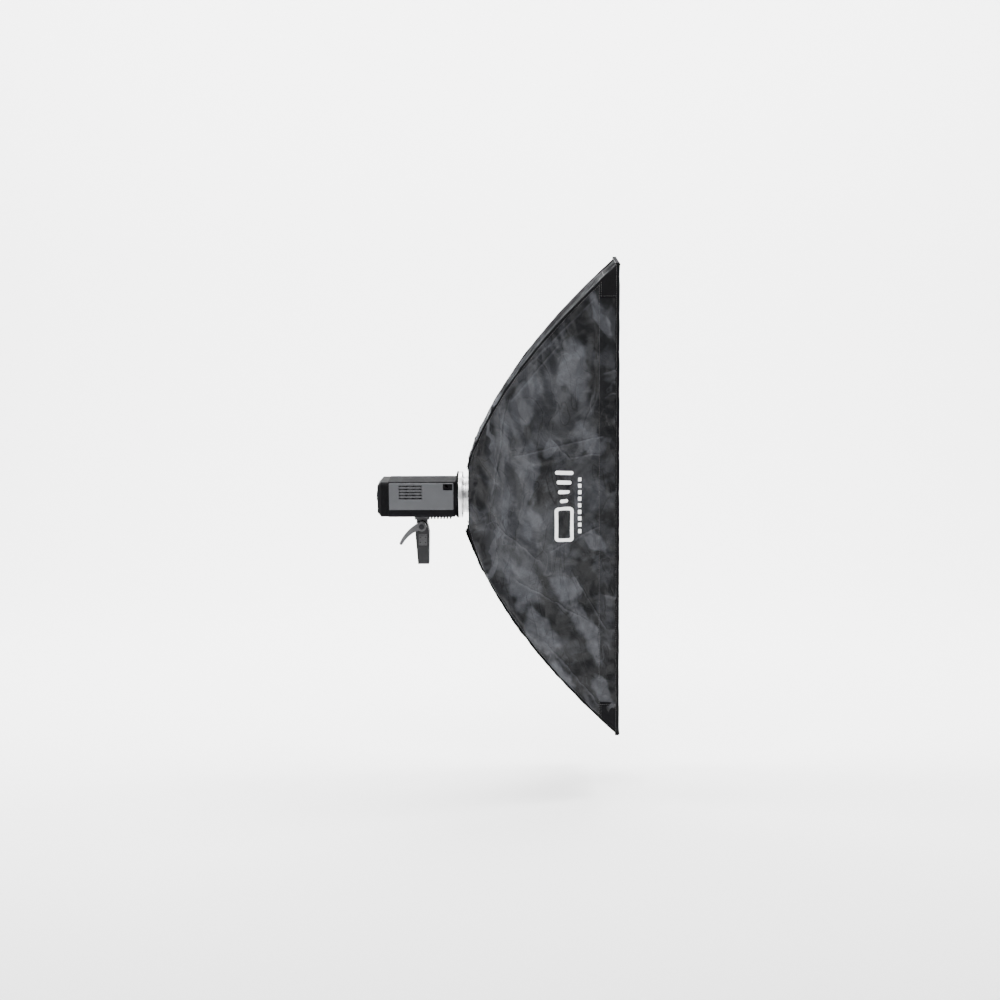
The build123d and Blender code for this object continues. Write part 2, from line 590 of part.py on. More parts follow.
def battery():
    size = BATTERY.bounding_box().size
    x0, x1 = BATTERY_X - size.X / 2, BATTERY_X + size.X / 2
    z0, z1 = BATTERY_Z - size.Z / 2, BATTERY_Z + size.Z / 2
    y0, y1 = BATTERY_Y - size.Y / 2, BATTERY_Y + size.Y / 2
    tub = block(x0, x1, y0, y1, z0, z1) - block(x0 + 2, x1 - 2, y0 - 1, y1 - 2, z0 + 2, z1 - 2)
    tub += block(LATCH_X - 15, LATCH_X - 13.5, y0, y1 - 2, z1 - 22, z1 - 2)
    save("battery_case", tub)
    plate = fillet(block(x0, x1, y0 - 2.6, y0 - 0.1, z0, z1).edges().filter_by(Axis.Y), 2.0)
    for k in range(5):
        plate -= block(-59.5, 0.5, y0 - 4, y0 + 1, z1 - 9.5 - 7.9 * k, z1 - 5.5 - 7.9 * k)
    plate -= block(LATCH_X - 12.2, LATCH_X + 12.2, y0 - 4, y0 + 1, LATCH_Z - 8.2, LATCH_Z + 8.2)
    save("battery_plate", plate)
    cells = [Pos(-70 + 19.5 * k, BATTERY_Y, BATTERY_Z) * Cylinder(9.0, 62) for k in range(6)]
    save("battery_cells", Compound([s for cell in cells for s in cell.solids()]))
    latch = block(LATCH_X - 11.8, LATCH_X + 11.8, y0 - 2.0, y0 + 4, LATCH_Z - 5.5, LATCH_Z + 7.6)
    for k in range(4):
        latch -= block(LATCH_X - 7 + 4 * k, LATCH_X - 5 + 4 * k, y0 - 3, y0 - 1.2, LATCH_Z - 3.5, LATCH_Z + 5.5)
    save("battery_latch", latch)


# ---------------------------------------------------------------- stand bracket
def bracket_fork():
    """Grip that stands on the spigot, with two ears round the tilt pivot."""
    outline = make_face(Polyline((-14.5, 0), (14.5, 0), (16.5, 80), (12.5, PIVOT_Z), (-18.5, PIVOT_Z),
                                 (-20.5, 80), (-14.5, 0)))
    grip = extrude(Plane.XZ * outline, EAR_OUTER, both=True)
    grip += pin(EAR_R, PIVOT_X, PIVOT_Z, -EAR_OUTER, EAR_OUTER)
    grip -= block(-40, 40, -EAR_INNER, EAR_INNER, 83, 130)
    grip -= pin(PIVOT_BORE_R, PIVOT_X, PIVOT_Z, -30, 30)
    grip -= post(LINER_R + 0.05, 0, 0, -1, SOCKET_DEPTH + 3)
    grip -= pin(6.05, 0, KNOB_Z, 0, 30)
    grip -= block(-12, 10, -EAR_OUTER - 1, -EAR_OUTER + 1.6, 49, 79)
    save("bracket_fork", grip)


def spigot_liner():
    liner = post(LINER_R, 0, 0, 0, SOCKET_DEPTH + 2.8) - post(SOCKET_R, 0, 0, -1, SOCKET_DEPTH)
    save("spigot_liner", liner - pin(4.05, 0, KNOB_Z, 0, 30))


def fork_plate():
    """Inset on the grip's near face, with two long recesses."""
    y = -EAR_OUTER + 0.2
    plate = fillet(block(-11.7, 9.7, y, y + 1.3, 49.3, 78.7).edges().filter_by(Axis.Y), 2.0)
    plate += block(-9.5, 7.5, y - 1.4, y, 65.5, 75.0) + block(-9.5, 7.5, y - 1.4, y, 52.5, 62.0)
    for z in (57.2, 70.2):
        for x in (-7.6, 5.6):
            plate -= pin(1.9, x, z, -30, y - 0.1)
    save("fork_plate", plate)


def bracket_screws():
    """Socket screws in the inset's recesses."""
    y = -EAR_OUTER + 0.2
    heads = [pin(1.7, x, z, y - 1.2, y - 0.2) for z in (57.2, 70.2) for x in (-7.6, 5.6)]
    save("bracket_screws", Compound([s for head in heads for s in head.solids()]))


def tilt_parts():
    shaft = pin(PIVOT_SHAFT_R, PIVOT_X, PIVOT_Z, -33.2, 24.0)
    save("tilt_bolt", shaft + pin(7.0, PIVOT_X, PIVOT_Z, -36.0, -33.2))
    nut = Pos(PIVOT_X, 21.3, PIVOT_Z) * Rot(90, 0, 0) * extrude(RegularPolygon(7.5, 6), 3, both=True)
    save("tilt_nut", nut - pin(PIVOT_BORE_R, PIVOT_X, PIVOT_Z, 0, 40))
    tongue = block(PIVOT_X - EAR_R + 1, PIVOT_X + EAR_R - 1, -9.4, 9.4, PIVOT_Z, 118)
    tongue += pin(EAR_R - 1, PIVOT_X, PIVOT_Z, -9.4, 9.4)
    foot = fillet(block(-21.6, 17.0, -20, 20, 117.6, HEAD_BOTTOM - 0.2).edges().filter_by(Axis.Z), 3)
    foot -= block(-17.5, 13.0, -21, -18.2, 110, 140)
    save("tilt_tongue", tongue + foot - pin(PIVOT_BORE_R + 0.05, PIVOT_X, PIVOT_Z, -30, 30))


def tilt_lever():
    """Curved clamping lever on the near end of the tilt bolt."""
    hub = pin(12.0, PIVOT_X, PIVOT_Z, -33.0, -18.4)
    upper = ThreePointArc((-10, 111.5), (-38, 91), (-61, 58.5))
    lower = ThreePointArc((-53.5, 54.5), (-33, 78.5), (-6, 93))
    tip = ThreePointArc((-61, 58.5), (-59.5, 53.8), (-53.5, 54.5))
    arm = make_face([upper, tip, lower, Line((-6, 93), (-10, 111.5))])
    arm = Pos(0, -31.5, 0) * (Plane.XZ * extrude(arm, -9))
    save("tilt_lever", hub + arm - pin(PIVOT_BORE_R + 0.05, PIVOT_X, PIVOT_Z, -40, 0))


def stand_clamp():
    """Screw that presses a brass shoe on the stand's spigot."""
    save("clamp_shoe", pin(3.9, 0, KNOB_Z, 8.6, 13.0))
    knob = pin(5.97, 0, KNOB_Z, 13.2, 22.0) + pin(13.0, 0, KNOB_Z, 22.0, 38.0)
    knob = fillet(knob.edges().filter_by(GeomType.CIRCLE).sort_by(Axis.Y)[-1], 2.5)
    for k in range(6):
        angle = radians(60 * k)
        knob -= pin(3.6, 14.6 * cos(angle), KNOB_Z + 14.6 * sin(angle), 21, 40)
    save("stand_knob", knob)


def build():
    os.makedirs("parts", exist_ok=True)
    for make in (outer_cloth, silver_lining, rear_collar, rear_flaps, front_binding, corner_pockets,
                 hook_tape, front_diffuser, inner_baffle, baffle_straps, rods, rod_tips, socket_sleeves,
                 rod_ring, bayonet_adapter, retaining_clip, lock_knobs, mount_ring, front_collar,
                 mount_latch, light_source, housings, far_side_plate, underside_grille, fan, electronics,
                 rear_bezel, rear_panel, display_window, controls, battery, bracket_fork, spigot_liner,
                 fork_plate, bracket_screws, tilt_parts, tilt_lever, stand_clamp):
        make()


build()
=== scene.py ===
# %% [markdown]
# # A strip softbox on its flash head
# A strip softbox is a tall, narrow bag of black cloth with a silver lining and a white front. Four bent
# rods stretch it from a metal ring, and the ring locks to a flash head. This notebook dresses a finished
# mechanical model: the metal and plastic pieces keep their shape and get real finishes, and the cloth,
# which was only a set of plain solids, is cut, sewn and settled as cloth. All sizes are in metres.

# %% Load the model
import math
import bmesh
import bpy
import numpy as np
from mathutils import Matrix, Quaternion, Vector
from mathutils.bvhtree import BVHTree
from mathutils.geometry import delaunay_2d_cdt


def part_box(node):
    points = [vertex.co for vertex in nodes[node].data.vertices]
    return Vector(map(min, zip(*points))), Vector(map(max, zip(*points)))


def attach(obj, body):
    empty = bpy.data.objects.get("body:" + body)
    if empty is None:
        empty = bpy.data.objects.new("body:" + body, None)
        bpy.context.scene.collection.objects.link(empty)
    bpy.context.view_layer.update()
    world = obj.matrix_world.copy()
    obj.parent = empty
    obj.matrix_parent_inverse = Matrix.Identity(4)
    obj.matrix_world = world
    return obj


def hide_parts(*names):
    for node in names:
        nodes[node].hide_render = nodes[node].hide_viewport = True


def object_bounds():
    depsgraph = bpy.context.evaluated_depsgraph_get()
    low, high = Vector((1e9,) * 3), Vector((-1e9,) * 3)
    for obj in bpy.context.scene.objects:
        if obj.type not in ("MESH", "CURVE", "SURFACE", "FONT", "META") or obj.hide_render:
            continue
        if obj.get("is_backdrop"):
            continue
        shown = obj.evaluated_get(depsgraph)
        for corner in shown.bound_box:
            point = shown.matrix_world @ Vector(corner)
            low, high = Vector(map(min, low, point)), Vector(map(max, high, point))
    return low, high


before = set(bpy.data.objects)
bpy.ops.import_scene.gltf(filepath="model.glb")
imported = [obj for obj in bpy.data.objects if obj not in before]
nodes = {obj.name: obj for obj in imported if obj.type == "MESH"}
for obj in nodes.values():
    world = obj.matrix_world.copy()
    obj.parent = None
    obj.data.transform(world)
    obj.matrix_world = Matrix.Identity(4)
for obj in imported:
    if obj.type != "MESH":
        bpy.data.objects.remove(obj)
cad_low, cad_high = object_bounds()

print(len(nodes), "pieces, from", [round(v, 3) for v in cad_low], "to", [round(v, 3) for v in cad_high])

# %% [markdown]
# ## The shape of the bag
# Each of the four seams follows one bowed curve from the ring to a corner of the mouth, and the four
# curves are mirror images. So every panel is a simple bend of a flat pattern: bent one way only, with no
# stretch. That is how the real bag is cut, and it lets each panel be drawn flat, as a cutter would.

# %% The seam's curve, measured forwards from the rod ring on the optical axis
SEAM = np.array([(-0.003, 0.078, 0.078), (0.016, 0.092, 0.148), (0.080, 0.138, 0.336), (0.379, 0.150, 0.602)])
ring_low, ring_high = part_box("rod_ring")
RING = np.array((ring_low[0] - 0.0005, 0.0, (ring_low[2] + ring_high[2]) / 2))
BAG_MIDDLE = RING + (0.2, 0.0, 0.0)


def seam_points(t):
    t = np.asarray(t, float)[:, None]
    return ((1 - t) ** 3 * SEAM[0] + 3 * (1 - t) ** 2 * t * SEAM[1]
            + 3 * (1 - t) * t ** 2 * SEAM[2] + t ** 3 * SEAM[3])


forward, half_width, half_height = seam_points(np.linspace(0, 1, 4001)).T
seam_length = float(np.linalg.norm(np.diff(seam_points(np.linspace(0, 1, 400)), axis=0), axis=1).sum())
print("seam", round(seam_length, 3), "m long")

# %% A panel's flat pattern: distance along the bend, and half its width there
class Pattern:
    """The flat shape of one panel, and where each point of it goes on the finished bag.
    Turn is 1 for the near and top panels and -1 for their twins; tall is true for the two sides."""

    def __init__(self, away, half, turn, tall):
        steps = np.hypot(np.diff(forward), np.diff(away))
        self.along = np.concatenate([[0], np.cumsum(steps)])
        self.away, self.half, self.turn, self.tall = away, half, turn, tall
        self.length = float(self.along[-1])
        self.area = float(np.sum((half[1:] + half[:-1]) * steps))
        self.flat = (self.length, 2 * float(half.max()))

    def at(self, name, a):
        return np.interp(a, self.along, {"forward": forward, "away": self.away, "half": self.half}[name])

    def distance(self, x):
        return float(np.interp(x, forward, self.along))

    def place(self, a, w, lift=0.0):
        """Where pattern points (a, w) lie on the bag, raised off it by lift."""
        a, w = np.asarray(a, float), np.asarray(w, float)
        step = 0.002
        low, high = np.clip(a - step, 0, self.length), np.clip(a + step, 0, self.length)
        dx = self.at("forward", high) - self.at("forward", low)
        dy = self.at("away", high) - self.at("away", low)
        size = np.hypot(dx, dy)
        x = self.at("forward", a) - dy / size * lift
        out = self.at("away", a) + dx / size * lift
        if self.tall:
            points = np.stack([x, -out * self.turn, w * self.turn], axis=-1)
        else:
            points = np.stack([x, w * self.turn, out * self.turn], axis=-1)
        return points + RING


near = Pattern(half_width, half_height, 1, True)
far = Pattern(half_width, half_height, -1, True)
top = Pattern(half_height, half_width, 1, False)
bottom = Pattern(half_height, half_width, -1, False)
for name, pattern in (("side", near), ("end", top)):
    print(name, "pattern", [round(v, 3) for v in pattern.flat], "m, area", round(pattern.area, 3))

# %% [markdown]
# ## Cutting the cloth
# Cloth folds in every direction, so a grid of squares would show its own lines in the wrinkles. The
# pattern is filled with points on a honeycomb instead, slightly scattered, and joined into triangles that
# keep exactly to the cut edge.

# %% Cut a pattern into small triangles
def cut(pattern, size, hole=None, seed=1):
    """(a, w) of every point, the triangles, and which points lie on the cut edge."""
    rng = np.random.default_rng(seed)
    dense = np.linspace(0, pattern.length, 3000)
    half = pattern.at("half", dense)
    run = np.concatenate([[0], np.cumsum(np.hypot(np.diff(dense), np.diff(half)))])
    stops = np.linspace(0, run[-1], int(run[-1] / size) + 1)
    edge_a, edge_w = np.interp(stops, run, dense), np.interp(stops, run, half)
    outline = [(a, -w) for a, w in zip(edge_a, edge_w)]
    across = np.linspace(-edge_w[-1], edge_w[-1], int(2 * edge_w[-1] / size) + 1)[1:-1]
    outline += [(pattern.length, w) for w in across]
    outline += [(a, w) for a, w in zip(edge_a[::-1], edge_w[::-1])]
    across = np.linspace(edge_w[0], -edge_w[0], int(2 * edge_w[0] / size) + 1)[1:-1]
    outline += [(0.0, w) for w in across]
    rim = []
    if hole:
        a0, a1, w1 = hole
        corners = [(a0, -w1), (a1, -w1), (a1, w1), (a0, w1)]
        for (pa, pw), (qa, qw) in zip(corners, corners[1:] + corners[:1]):
            count = max(2, int(math.hypot(qa - pa, qw - pw) / size))
            rim += [(pa + (qa - pa) * k / count, pw + (qw - pw) * k / count) for k in range(count)]
    inner = []
    row = size * math.sqrt(3) / 2
    for i, a in enumerate(np.arange(row * 0.8, pattern.length - row * 0.6, row)):
        reach = float(pattern.at("half", a)) - 0.55 * size
        w = np.arange(-reach + (i % 2) * size / 2, reach, size)
        inner += [(a + da, v + dv) for v, (da, dv) in zip(w, rng.uniform(-0.16, 0.16, (len(w), 2)) * size)]
    if hole:
        near_hole = size / 2
        inner = [(a, w) for a, w in inner
                 if not (a0 - near_hole < a < a1 + near_hole and abs(w) < w1 + near_hole)]
    loop = list(range(len(outline)))
    rim_loop = [len(outline) + k for k in range(len(rim))]
    edges = list(zip(rim_loop, rim_loop[1:] + rim_loop[:1])) if rim else []
    points = [Vector(p) for p in outline + rim + inner]
    found, _, faces, _, _, _ = delaunay_2d_cdt(points, edges, [loop], 1, 1e-7)
    flat = np.array([tuple(p) for p in found])
    faces = np.array([f for f in faces if len(f) == 3])
    if hole:
        middle = flat[faces].mean(axis=1)
        inside = (middle[:, 0] > a0) & (middle[:, 0] < a1) & (abs(middle[:, 1]) < w1)
        faces = faces[~inside]
    used = np.zeros(len(flat), bool)
    used[faces.ravel()] = True
    renumber = np.cumsum(used) - 1
    flat, faces = flat[used], renumber[faces]
    edge = (flat[:, 0] < 1e-5) | (flat[:, 0] > pattern.length - 1e-5)
    edge |= abs(flat[:, 1]) > pattern.at("half", flat[:, 0]) - 2e-4
    return flat, faces, edge


def make_piece(name, points, faces, uv=None, smooth=True):
    """A mesh object from points and faces, with an optional flat pattern as its UV map, in metres."""
    mesh = bpy.data.meshes.new(name)
    mesh.from_pydata([tuple(map(float, p)) for p in points], [], [tuple(map(int, f)) for f in faces])
    mesh.update()
    if uv is not None:
        layer = mesh.uv_layers.new(name="Pattern")
        index = np.empty(len(mesh.loops), int)
        mesh.loops.foreach_get("vertex_index", index)
        layer.data.foreach_set("uv", np.asarray(uv, float)[index].astype(np.float32).ravel())
    mesh.polygons.foreach_set("use_smooth", [smooth] * len(mesh.polygons))
    piece = bpy.data.objects.new(name, mesh)
    bpy.context.scene.collection.objects.link(piece)
    return piece


def quads(rows, columns):
    """The faces of a grid of points that are numbered row by row."""
    index = np.arange(rows * columns).reshape(rows, columns)
    return np.stack([index[:-1, :-1], index[1:, :-1], index[1:, 1:], index[:-1, 1:]], axis=-1).reshape(-1, 4)


def join(parts):
    """Several (points, faces, flat) as one."""
    points, faces, flat, count = [], [], [], 0
    for p, f, u in parts:
        points.append(p)
        faces += [tuple(int(i) + count for i in face) for face in f]
        flat.append(u)
        count += len(p)
    return np.concatenate(points), faces, np.concatenate(flat)


def outwards(normal, point):
    """Whether a normal looks away from the bag's middle."""
    return normal.dot(point - Vector(BAG_MIDDLE)) > 0


def face_out(piece):
    """Turns a whole sheet so that its faces look away from the bag's middle."""
    mesh = piece.data
    away = sum((f.normal.dot(f.center - Vector(BAG_MIDDLE)) * f.area for f in mesh.polygons), 0.0)
    if away < 0:
        mesh.flip_normals()
    return piece


def face_each(piece, away):
    """Turns each face by itself, away from the bag's middle or towards it."""
    for face in piece.data.polygons:
        if outwards(face.normal, face.center) != away:
            face.flip()
    piece.data.update()
    return piece


# %% [markdown]
# ## Folds
# The bag has been rolled up in a case many times. Its cloth keeps long soft folds that run down the bag
# near the ring, a few sharp creases, and fans of small puckers where the seams pull. They are drawn into
# the pattern first as ridges and valleys, and then the cloth settles.

# %% Ridges and valleys
def ridge(flat, start, end, width, height, sharp=0.0):
    """The lift of a fold along a line in the pattern. A sharp one has a crest like a crease."""
    start, end = np.array(start), np.array(end)
    line = end - start
    length = float(np.hypot(*line))
    t = ((flat - start) @ line) / length ** 2
    inside = np.clip(t, 0, 1)
    gap = np.hypot(*(flat - (start + inside[:, None] * line)).T)
    fade = np.sin(np.pi * np.clip(t, 0.02, 0.98)) ** 0.5
    soft = np.exp(-(gap / width) ** 2)
    crest = np.exp(-gap / (width * 0.7))
    return height * fade * ((1 - sharp) * soft + sharp * crest)


def puckers(flat, pattern, count, seed, reach=(0.03, 0.11), height=(0.0006, 0.0020)):
    """Fans of small creases that start on the seams and run inwards."""
    rng = np.random.default_rng(seed)
    lift = np.zeros(len(flat))
    for _ in range(count):
        a = rng.uniform(0.02, 0.985) * pattern.length
        side = rng.choice([-1, 1])
        start = np.array((a, side * float(pattern.at("half", a))))
        turn = rng.uniform(-0.9, 0.9)
        inward = np.array((math.sin(turn), -side * math.cos(turn)))
        end = start + inward * rng.uniform(*reach)
        size = rng.uniform(*height) * rng.choice([-1, 1])
        lift += ridge(flat, start, end, rng.uniform(0.004, 0.009), size, sharp=0.6)
    return lift


def soft_noise(flat, scale, seed, waves=14):
    """A smooth random surface, made of a few crossing waves."""
    rng = np.random.default_rng(seed)
    total = np.zeros(len(flat))
    for _ in range(waves):
        turn, size = rng.uniform(0, 2 * math.pi), rng.uniform(0.6, 1.6) / scale
        total += np.sin((flat @ (math.cos(turn), math.sin(turn))) * size * 2 * math.pi + rng.uniform(0, 6.28))
    return total / math.sqrt(waves)


# %% [markdown]
# ## Settling the cloth
# A cloth simulation pins the seams and lets the panel, which is cut a little large, find its own
# shape. Real nylon behaves the same way: it buckles into a few broad folds that meet at sharp points. The
# result is written back into the mesh, and no point may travel further than a few millimetres.

# %% Settle a panel
def settle(piece, pinned, slack, hold, frames=28, limit=0.009, weight=0.35, bend=0.6):
    """Runs the cloth simulation and keeps its result. Hold is near 0 where a rod keeps the cloth in place,
    and 1 elsewhere."""
    mesh = piece.data
    before = np.empty(len(mesh.vertices) * 3, np.float32)
    mesh.vertices.foreach_get("co", before)
    group = piece.vertex_groups.new(name="sewn")
    group.add([int(v) for v in np.flatnonzero(pinned)], 1.0, "REPLACE")
    cloth = piece.modifiers.new("settle", "CLOTH")
    cloth.settings.quality = 5
    cloth.settings.mass = 0.12
    cloth.settings.tension_stiffness = 25
    cloth.settings.compression_stiffness = 25
    cloth.settings.shear_stiffness = 8
    cloth.settings.bending_stiffness = bend
    cloth.settings.air_damping = 3
    cloth.settings.vertex_group_mass = "sewn"
    cloth.settings.shrink_min = -slack
    cloth.settings.effector_weights.gravity = weight
    cloth.collision_settings.use_collision = False
    cloth.point_cache.frame_start, cloth.point_cache.frame_end = 1, frames
    scene = bpy.context.scene
    for number in range(1, frames + 1):
        scene.frame_set(number)
    result = piece.evaluated_get(bpy.context.evaluated_depsgraph_get()).data
    after = np.empty(len(result.vertices) * 3, np.float32)
    result.vertices.foreach_get("co", after)
    piece.modifiers.remove(cloth)
    piece.vertex_groups.clear()
    scene.frame_set(1)
    before, after = before.reshape(-1, 3), after.reshape(-1, 3)
    move = after - before
    size = np.linalg.norm(move, axis=1)
    move *= (np.tanh(size / limit) * limit / np.maximum(size, 1e-9) * hold)[:, None]
    mesh.vertices.foreach_set("co", (before + move).ravel())
    mesh.update()
    print(piece.name, "settled; it moved by up to", round(float(size.max()) * 1000, 1), "mm")
    return piece


# %% [markdown]
# ## Finishes as sums
# A finish is easier to read as a formula than as wires. This small class wraps one output of a shader
# node, so that noise, stripes and masks can be added and multiplied like numbers.

# %% A socket that can be added and multiplied
class Field:
    def __init__(self, finish, socket):
        self.finish, self.socket = finish, socket

    def maths(self, operation, *others):
        return self.finish.node("ShaderNodeMath", [self, *others], operation=operation)

    def __add__(self, other):
        return self.maths("ADD", other)

    def __sub__(self, other):
        return self.maths("SUBTRACT", other)

    def __rsub__(self, other):
        return (self * -1) + other

    def __mul__(self, other):
        return self.maths("MULTIPLY", other)

    def __truediv__(self, other):
        return self.maths("DIVIDE", other)

    __radd__, __rmul__ = __add__, __mul__

    def size(self):
        return self.maths("ABSOLUTE")

    def smaller(self, other):
        return self.maths("MINIMUM", other)

    def larger(self, other):
        return self.maths("MAXIMUM", other)

    def step(self, low, high):
        """0 below low, 1 above high, and smooth between them."""
        inputs = {"Value": self, "From Min": low, "From Max": high}
        return self.finish.node("ShaderNodeMapRange", inputs, interpolation_type="SMOOTHSTEP")


class Finish:
    """One material. Constant numbers go on the shader's own sockets; only patterns are wired."""

    def __init__(self, name):
        self.material = bpy.data.materials.new(name)
        self.material.use_nodes = True
        self.tree = self.material.node_tree
        self.shader = self.tree.nodes["Principled BSDF"]

    def node(self, kind, inputs=(), output=0, **settings):
        made = self.tree.nodes.new(kind)
        for key, value in settings.items():
            setattr(made, key, value)
        pairs = inputs.items() if isinstance(inputs, dict) else enumerate(inputs)
        for key, value in pairs:
            self.put(made.inputs[key], value)
        return Field(self, made.outputs[output])

    def put(self, socket, value):
        if isinstance(value, Field):
            self.tree.links.new(value.socket, socket)
        else:
            socket.default_value = value

    def place(self):
        return self.node("ShaderNodeTexCoord", output="Object")

    def pattern(self):
        """The cloth's own flat pattern, in metres."""
        return self.node("ShaderNodeUVMap", uv_map="Pattern")

    def axes(self, vector):
        split = self.node("ShaderNodeSeparateXYZ", [vector])
        made = split.socket.node
        return [Field(self, made.outputs[k]) for k in range(3)]

    def noise(self, vector, scale, detail=3.0, roughness=0.5, distortion=0.0):
        inputs = {"Vector": vector, "Scale": scale, "Detail": detail,
                  "Roughness": roughness, "Distortion": distortion}
        return self.node("ShaderNodeTexNoise", inputs)

    def stretch(self, vector, x, y, z):
        return self.node("ShaderNodeMapping", {"Vector": vector, "Scale": (x, y, z)})

    def wave(self, value, pitch):
        """A smooth ripple from -1 to 1 with that pitch."""
        return (value * (2 * math.pi / pitch)).maths("SINE")

    def blend(self, factor, low, high):
        """A colour between low and high. The node's sockets 0, 6 and 7 are the factor and the two colours."""
        low, high = [(*c, 1.0) if isinstance(c, tuple) else c for c in (low, high)]
        return self.node("ShaderNodeMix", {0: factor, 6: low, 7: high}, output=2, data_type="RGBA")

    def bump(self, height, distance=0.001, strength=1.0, under=None):
        inputs = {"Height": height, "Distance": distance, "Strength": strength}
        if under is not None:
            inputs["Normal"] = under
        return self.node("ShaderNodeBump", inputs)

    def use(self, **sockets):
        names = {"color": "Base Color", "rough": "Roughness", "metal": "Metallic", "normal": "Normal",
                 "coat": "Coat Weight", "coat_rough": "Coat Roughness", "sheen": "Sheen Weight",
                 "specular": "Specular IOR Level", "clear": "Transmission Weight", "bend": "IOR"}
        for key, value in sockets.items():
            self.put(self.shader.inputs[names[key]], value)
        return self.material


def shade(color, factor):
    return tuple(c * factor for c in color)


print("finishes are ready to mix")

# %% [markdown]
# ## Coated nylon
# The bag is black nylon with a thin coating inside, so it's smooth and a little glossy, with a very fine
# plain weave that only shows close up. Handling leaves it slightly crumpled everywhere. The gloss is what
# shows the folds: a slope that faces a lamp turns grey, and the next one stays black. Grey patches of
# painted sheen, and painted shade along the creases, are added to the colour as well.

# %% Nylon


# Patches of painted sheen, grey in the colour where the gloss would catch a lamp: forwards, upwards, half
# width, half height, lean, strength
PAINTED_SHEEN = [
    (0.264, 0.332, 0.040, 0.086, 0.28, 0.9), (0.146, 0.262, 0.038, 0.074, -0.3, 0.8),
    (0.302, 0.158, 0.044, 0.032, 0.5, 0.8), (0.338, 0.470, 0.018, 0.062, 0.25, 0.8),
    (0.150, 0.080, 0.026, 0.070, 0.0, 0.75), (0.155, -0.024, 0.030, 0.066, 0.08, 0.8),
    (0.124, -0.206, 0.052, 0.066, 0.3, 0.8), (0.247, -0.212, 0.036, 0.046, 0.5, 0.8),
    (0.186, -0.330, 0.046, 0.044, 0.4, 0.8), (0.302, -0.334, 0.024, 0.066, 0.35, 0.8),
    (0.058, 0.128, 0.006, 0.090, 0.22, 0.8), (0.086, 0.060, 0.011, 0.170, 0.05, 0.7),
    (0.328, -0.098, 0.016, 0.044, 0.3, 0.8), (0.236, -0.455, 0.024, 0.040, 0.5, 0.7),
    (0.330, -0.465, 0.022, 0.036, 0.2, 0.7), (0.060, -0.140, 0.010, 0.090, -0.2, 0.8),
    (0.205, 0.140, 0.020, 0.034, -0.4, 0.7), (0.105, -0.010, 0.075, 0.270, 0.0, 0.42),
    (0.215, -0.120, 0.060, 0.090, 0.3, 0.4), (0.300, 0.020, 0.040, 0.110, 0.0, 0.34),
    (0.230, 0.230, 0.090, 0.200, 0.3, 0.3)]


def painted_sheen_patches(f, cloth, a, w):
    """1 inside a patch of painted sheen, with ragged edges."""
    shift = f.noise(cloth, 9, 3, 0.55, 0.4) - 0.5
    shift_w = f.noise(f.stretch(cloth, 1.3, 0.9, 1.0), 8, 3, 0.55, 0.5) - 0.5
    a, w = a + shift * 0.09, w + shift_w * 0.16
    total = None
    for x, z, half_x, half_z, lean, strength in PAINTED_SHEEN:
        da, dw = a - near.distance(x), w - z
        u = (da + dw * lean) / half_x
        v = dw / half_z
        inside = (1 - (u * u + v * v).maths("SQRT").step(0.70, 1.20)) * strength
        total = inside if total is None else total.larger(inside)
    return total


# Sharp creases left by packing the bag, drawn as a bump with a painted lit side and a painted shaded side:
# from and to, forwards and upwards
CREASES = [
    ((0.116, 0.119), (0.338, 0.172)), ((0.128, 0.326), (0.318, 0.516)),
    ((0.112, 0.262), (0.226, 0.398)), ((0.345, 0.332), (0.378, 0.340)),
    ((0.344, 0.268), (0.377, 0.284)), ((0.214, 0.158), (0.252, 0.118)),
    ((0.252, 0.118), (0.334, 0.128)), ((0.095, 0.236), (0.060, 0.020)),
    ((0.122, -0.205), (0.300, -0.300)), ((0.088, -0.262), (0.186, -0.412)),
    ((0.210, -0.120), (0.328, -0.060)), ((0.196, -0.360), (0.330, -0.520)),
    ((0.345, -0.236), (0.377, -0.246)), ((0.070, -0.060), (0.180, -0.150)),
    ((0.268, -0.190), (0.346, -0.320))]


def crease_lines(f, cloth, a, w):
    """How near each sharp crease is, and which side of it: a lit side and a shaded side."""
    bend = f.noise(cloth, 24, 2, 0.5) - 0.5
    a, w = a + bend * 0.012, w + bend * 0.016
    total = None
    for (x0, z0), (x1, z1) in CREASES:
        a0, a1 = near.distance(x0), near.distance(x1)
        run = math.hypot(a1 - a0, z1 - z0)
        ua, uw = (a1 - a0) / run, (z1 - z0) / run
        da, dw = a - a0, w - z0
        along = (da * ua + dw * uw).larger(0.0).smaller(run)
        ga, gw = da - along * ua, dw - along * uw
        reach = 1 - (ga * ga + gw * gw).maths("SQRT").step(0.0, 0.0075)
        side = (da * uw - dw * ua).step(-0.0018, 0.0018) - 0.35
        line = reach * side
        total = line if total is None else total + line
    return total


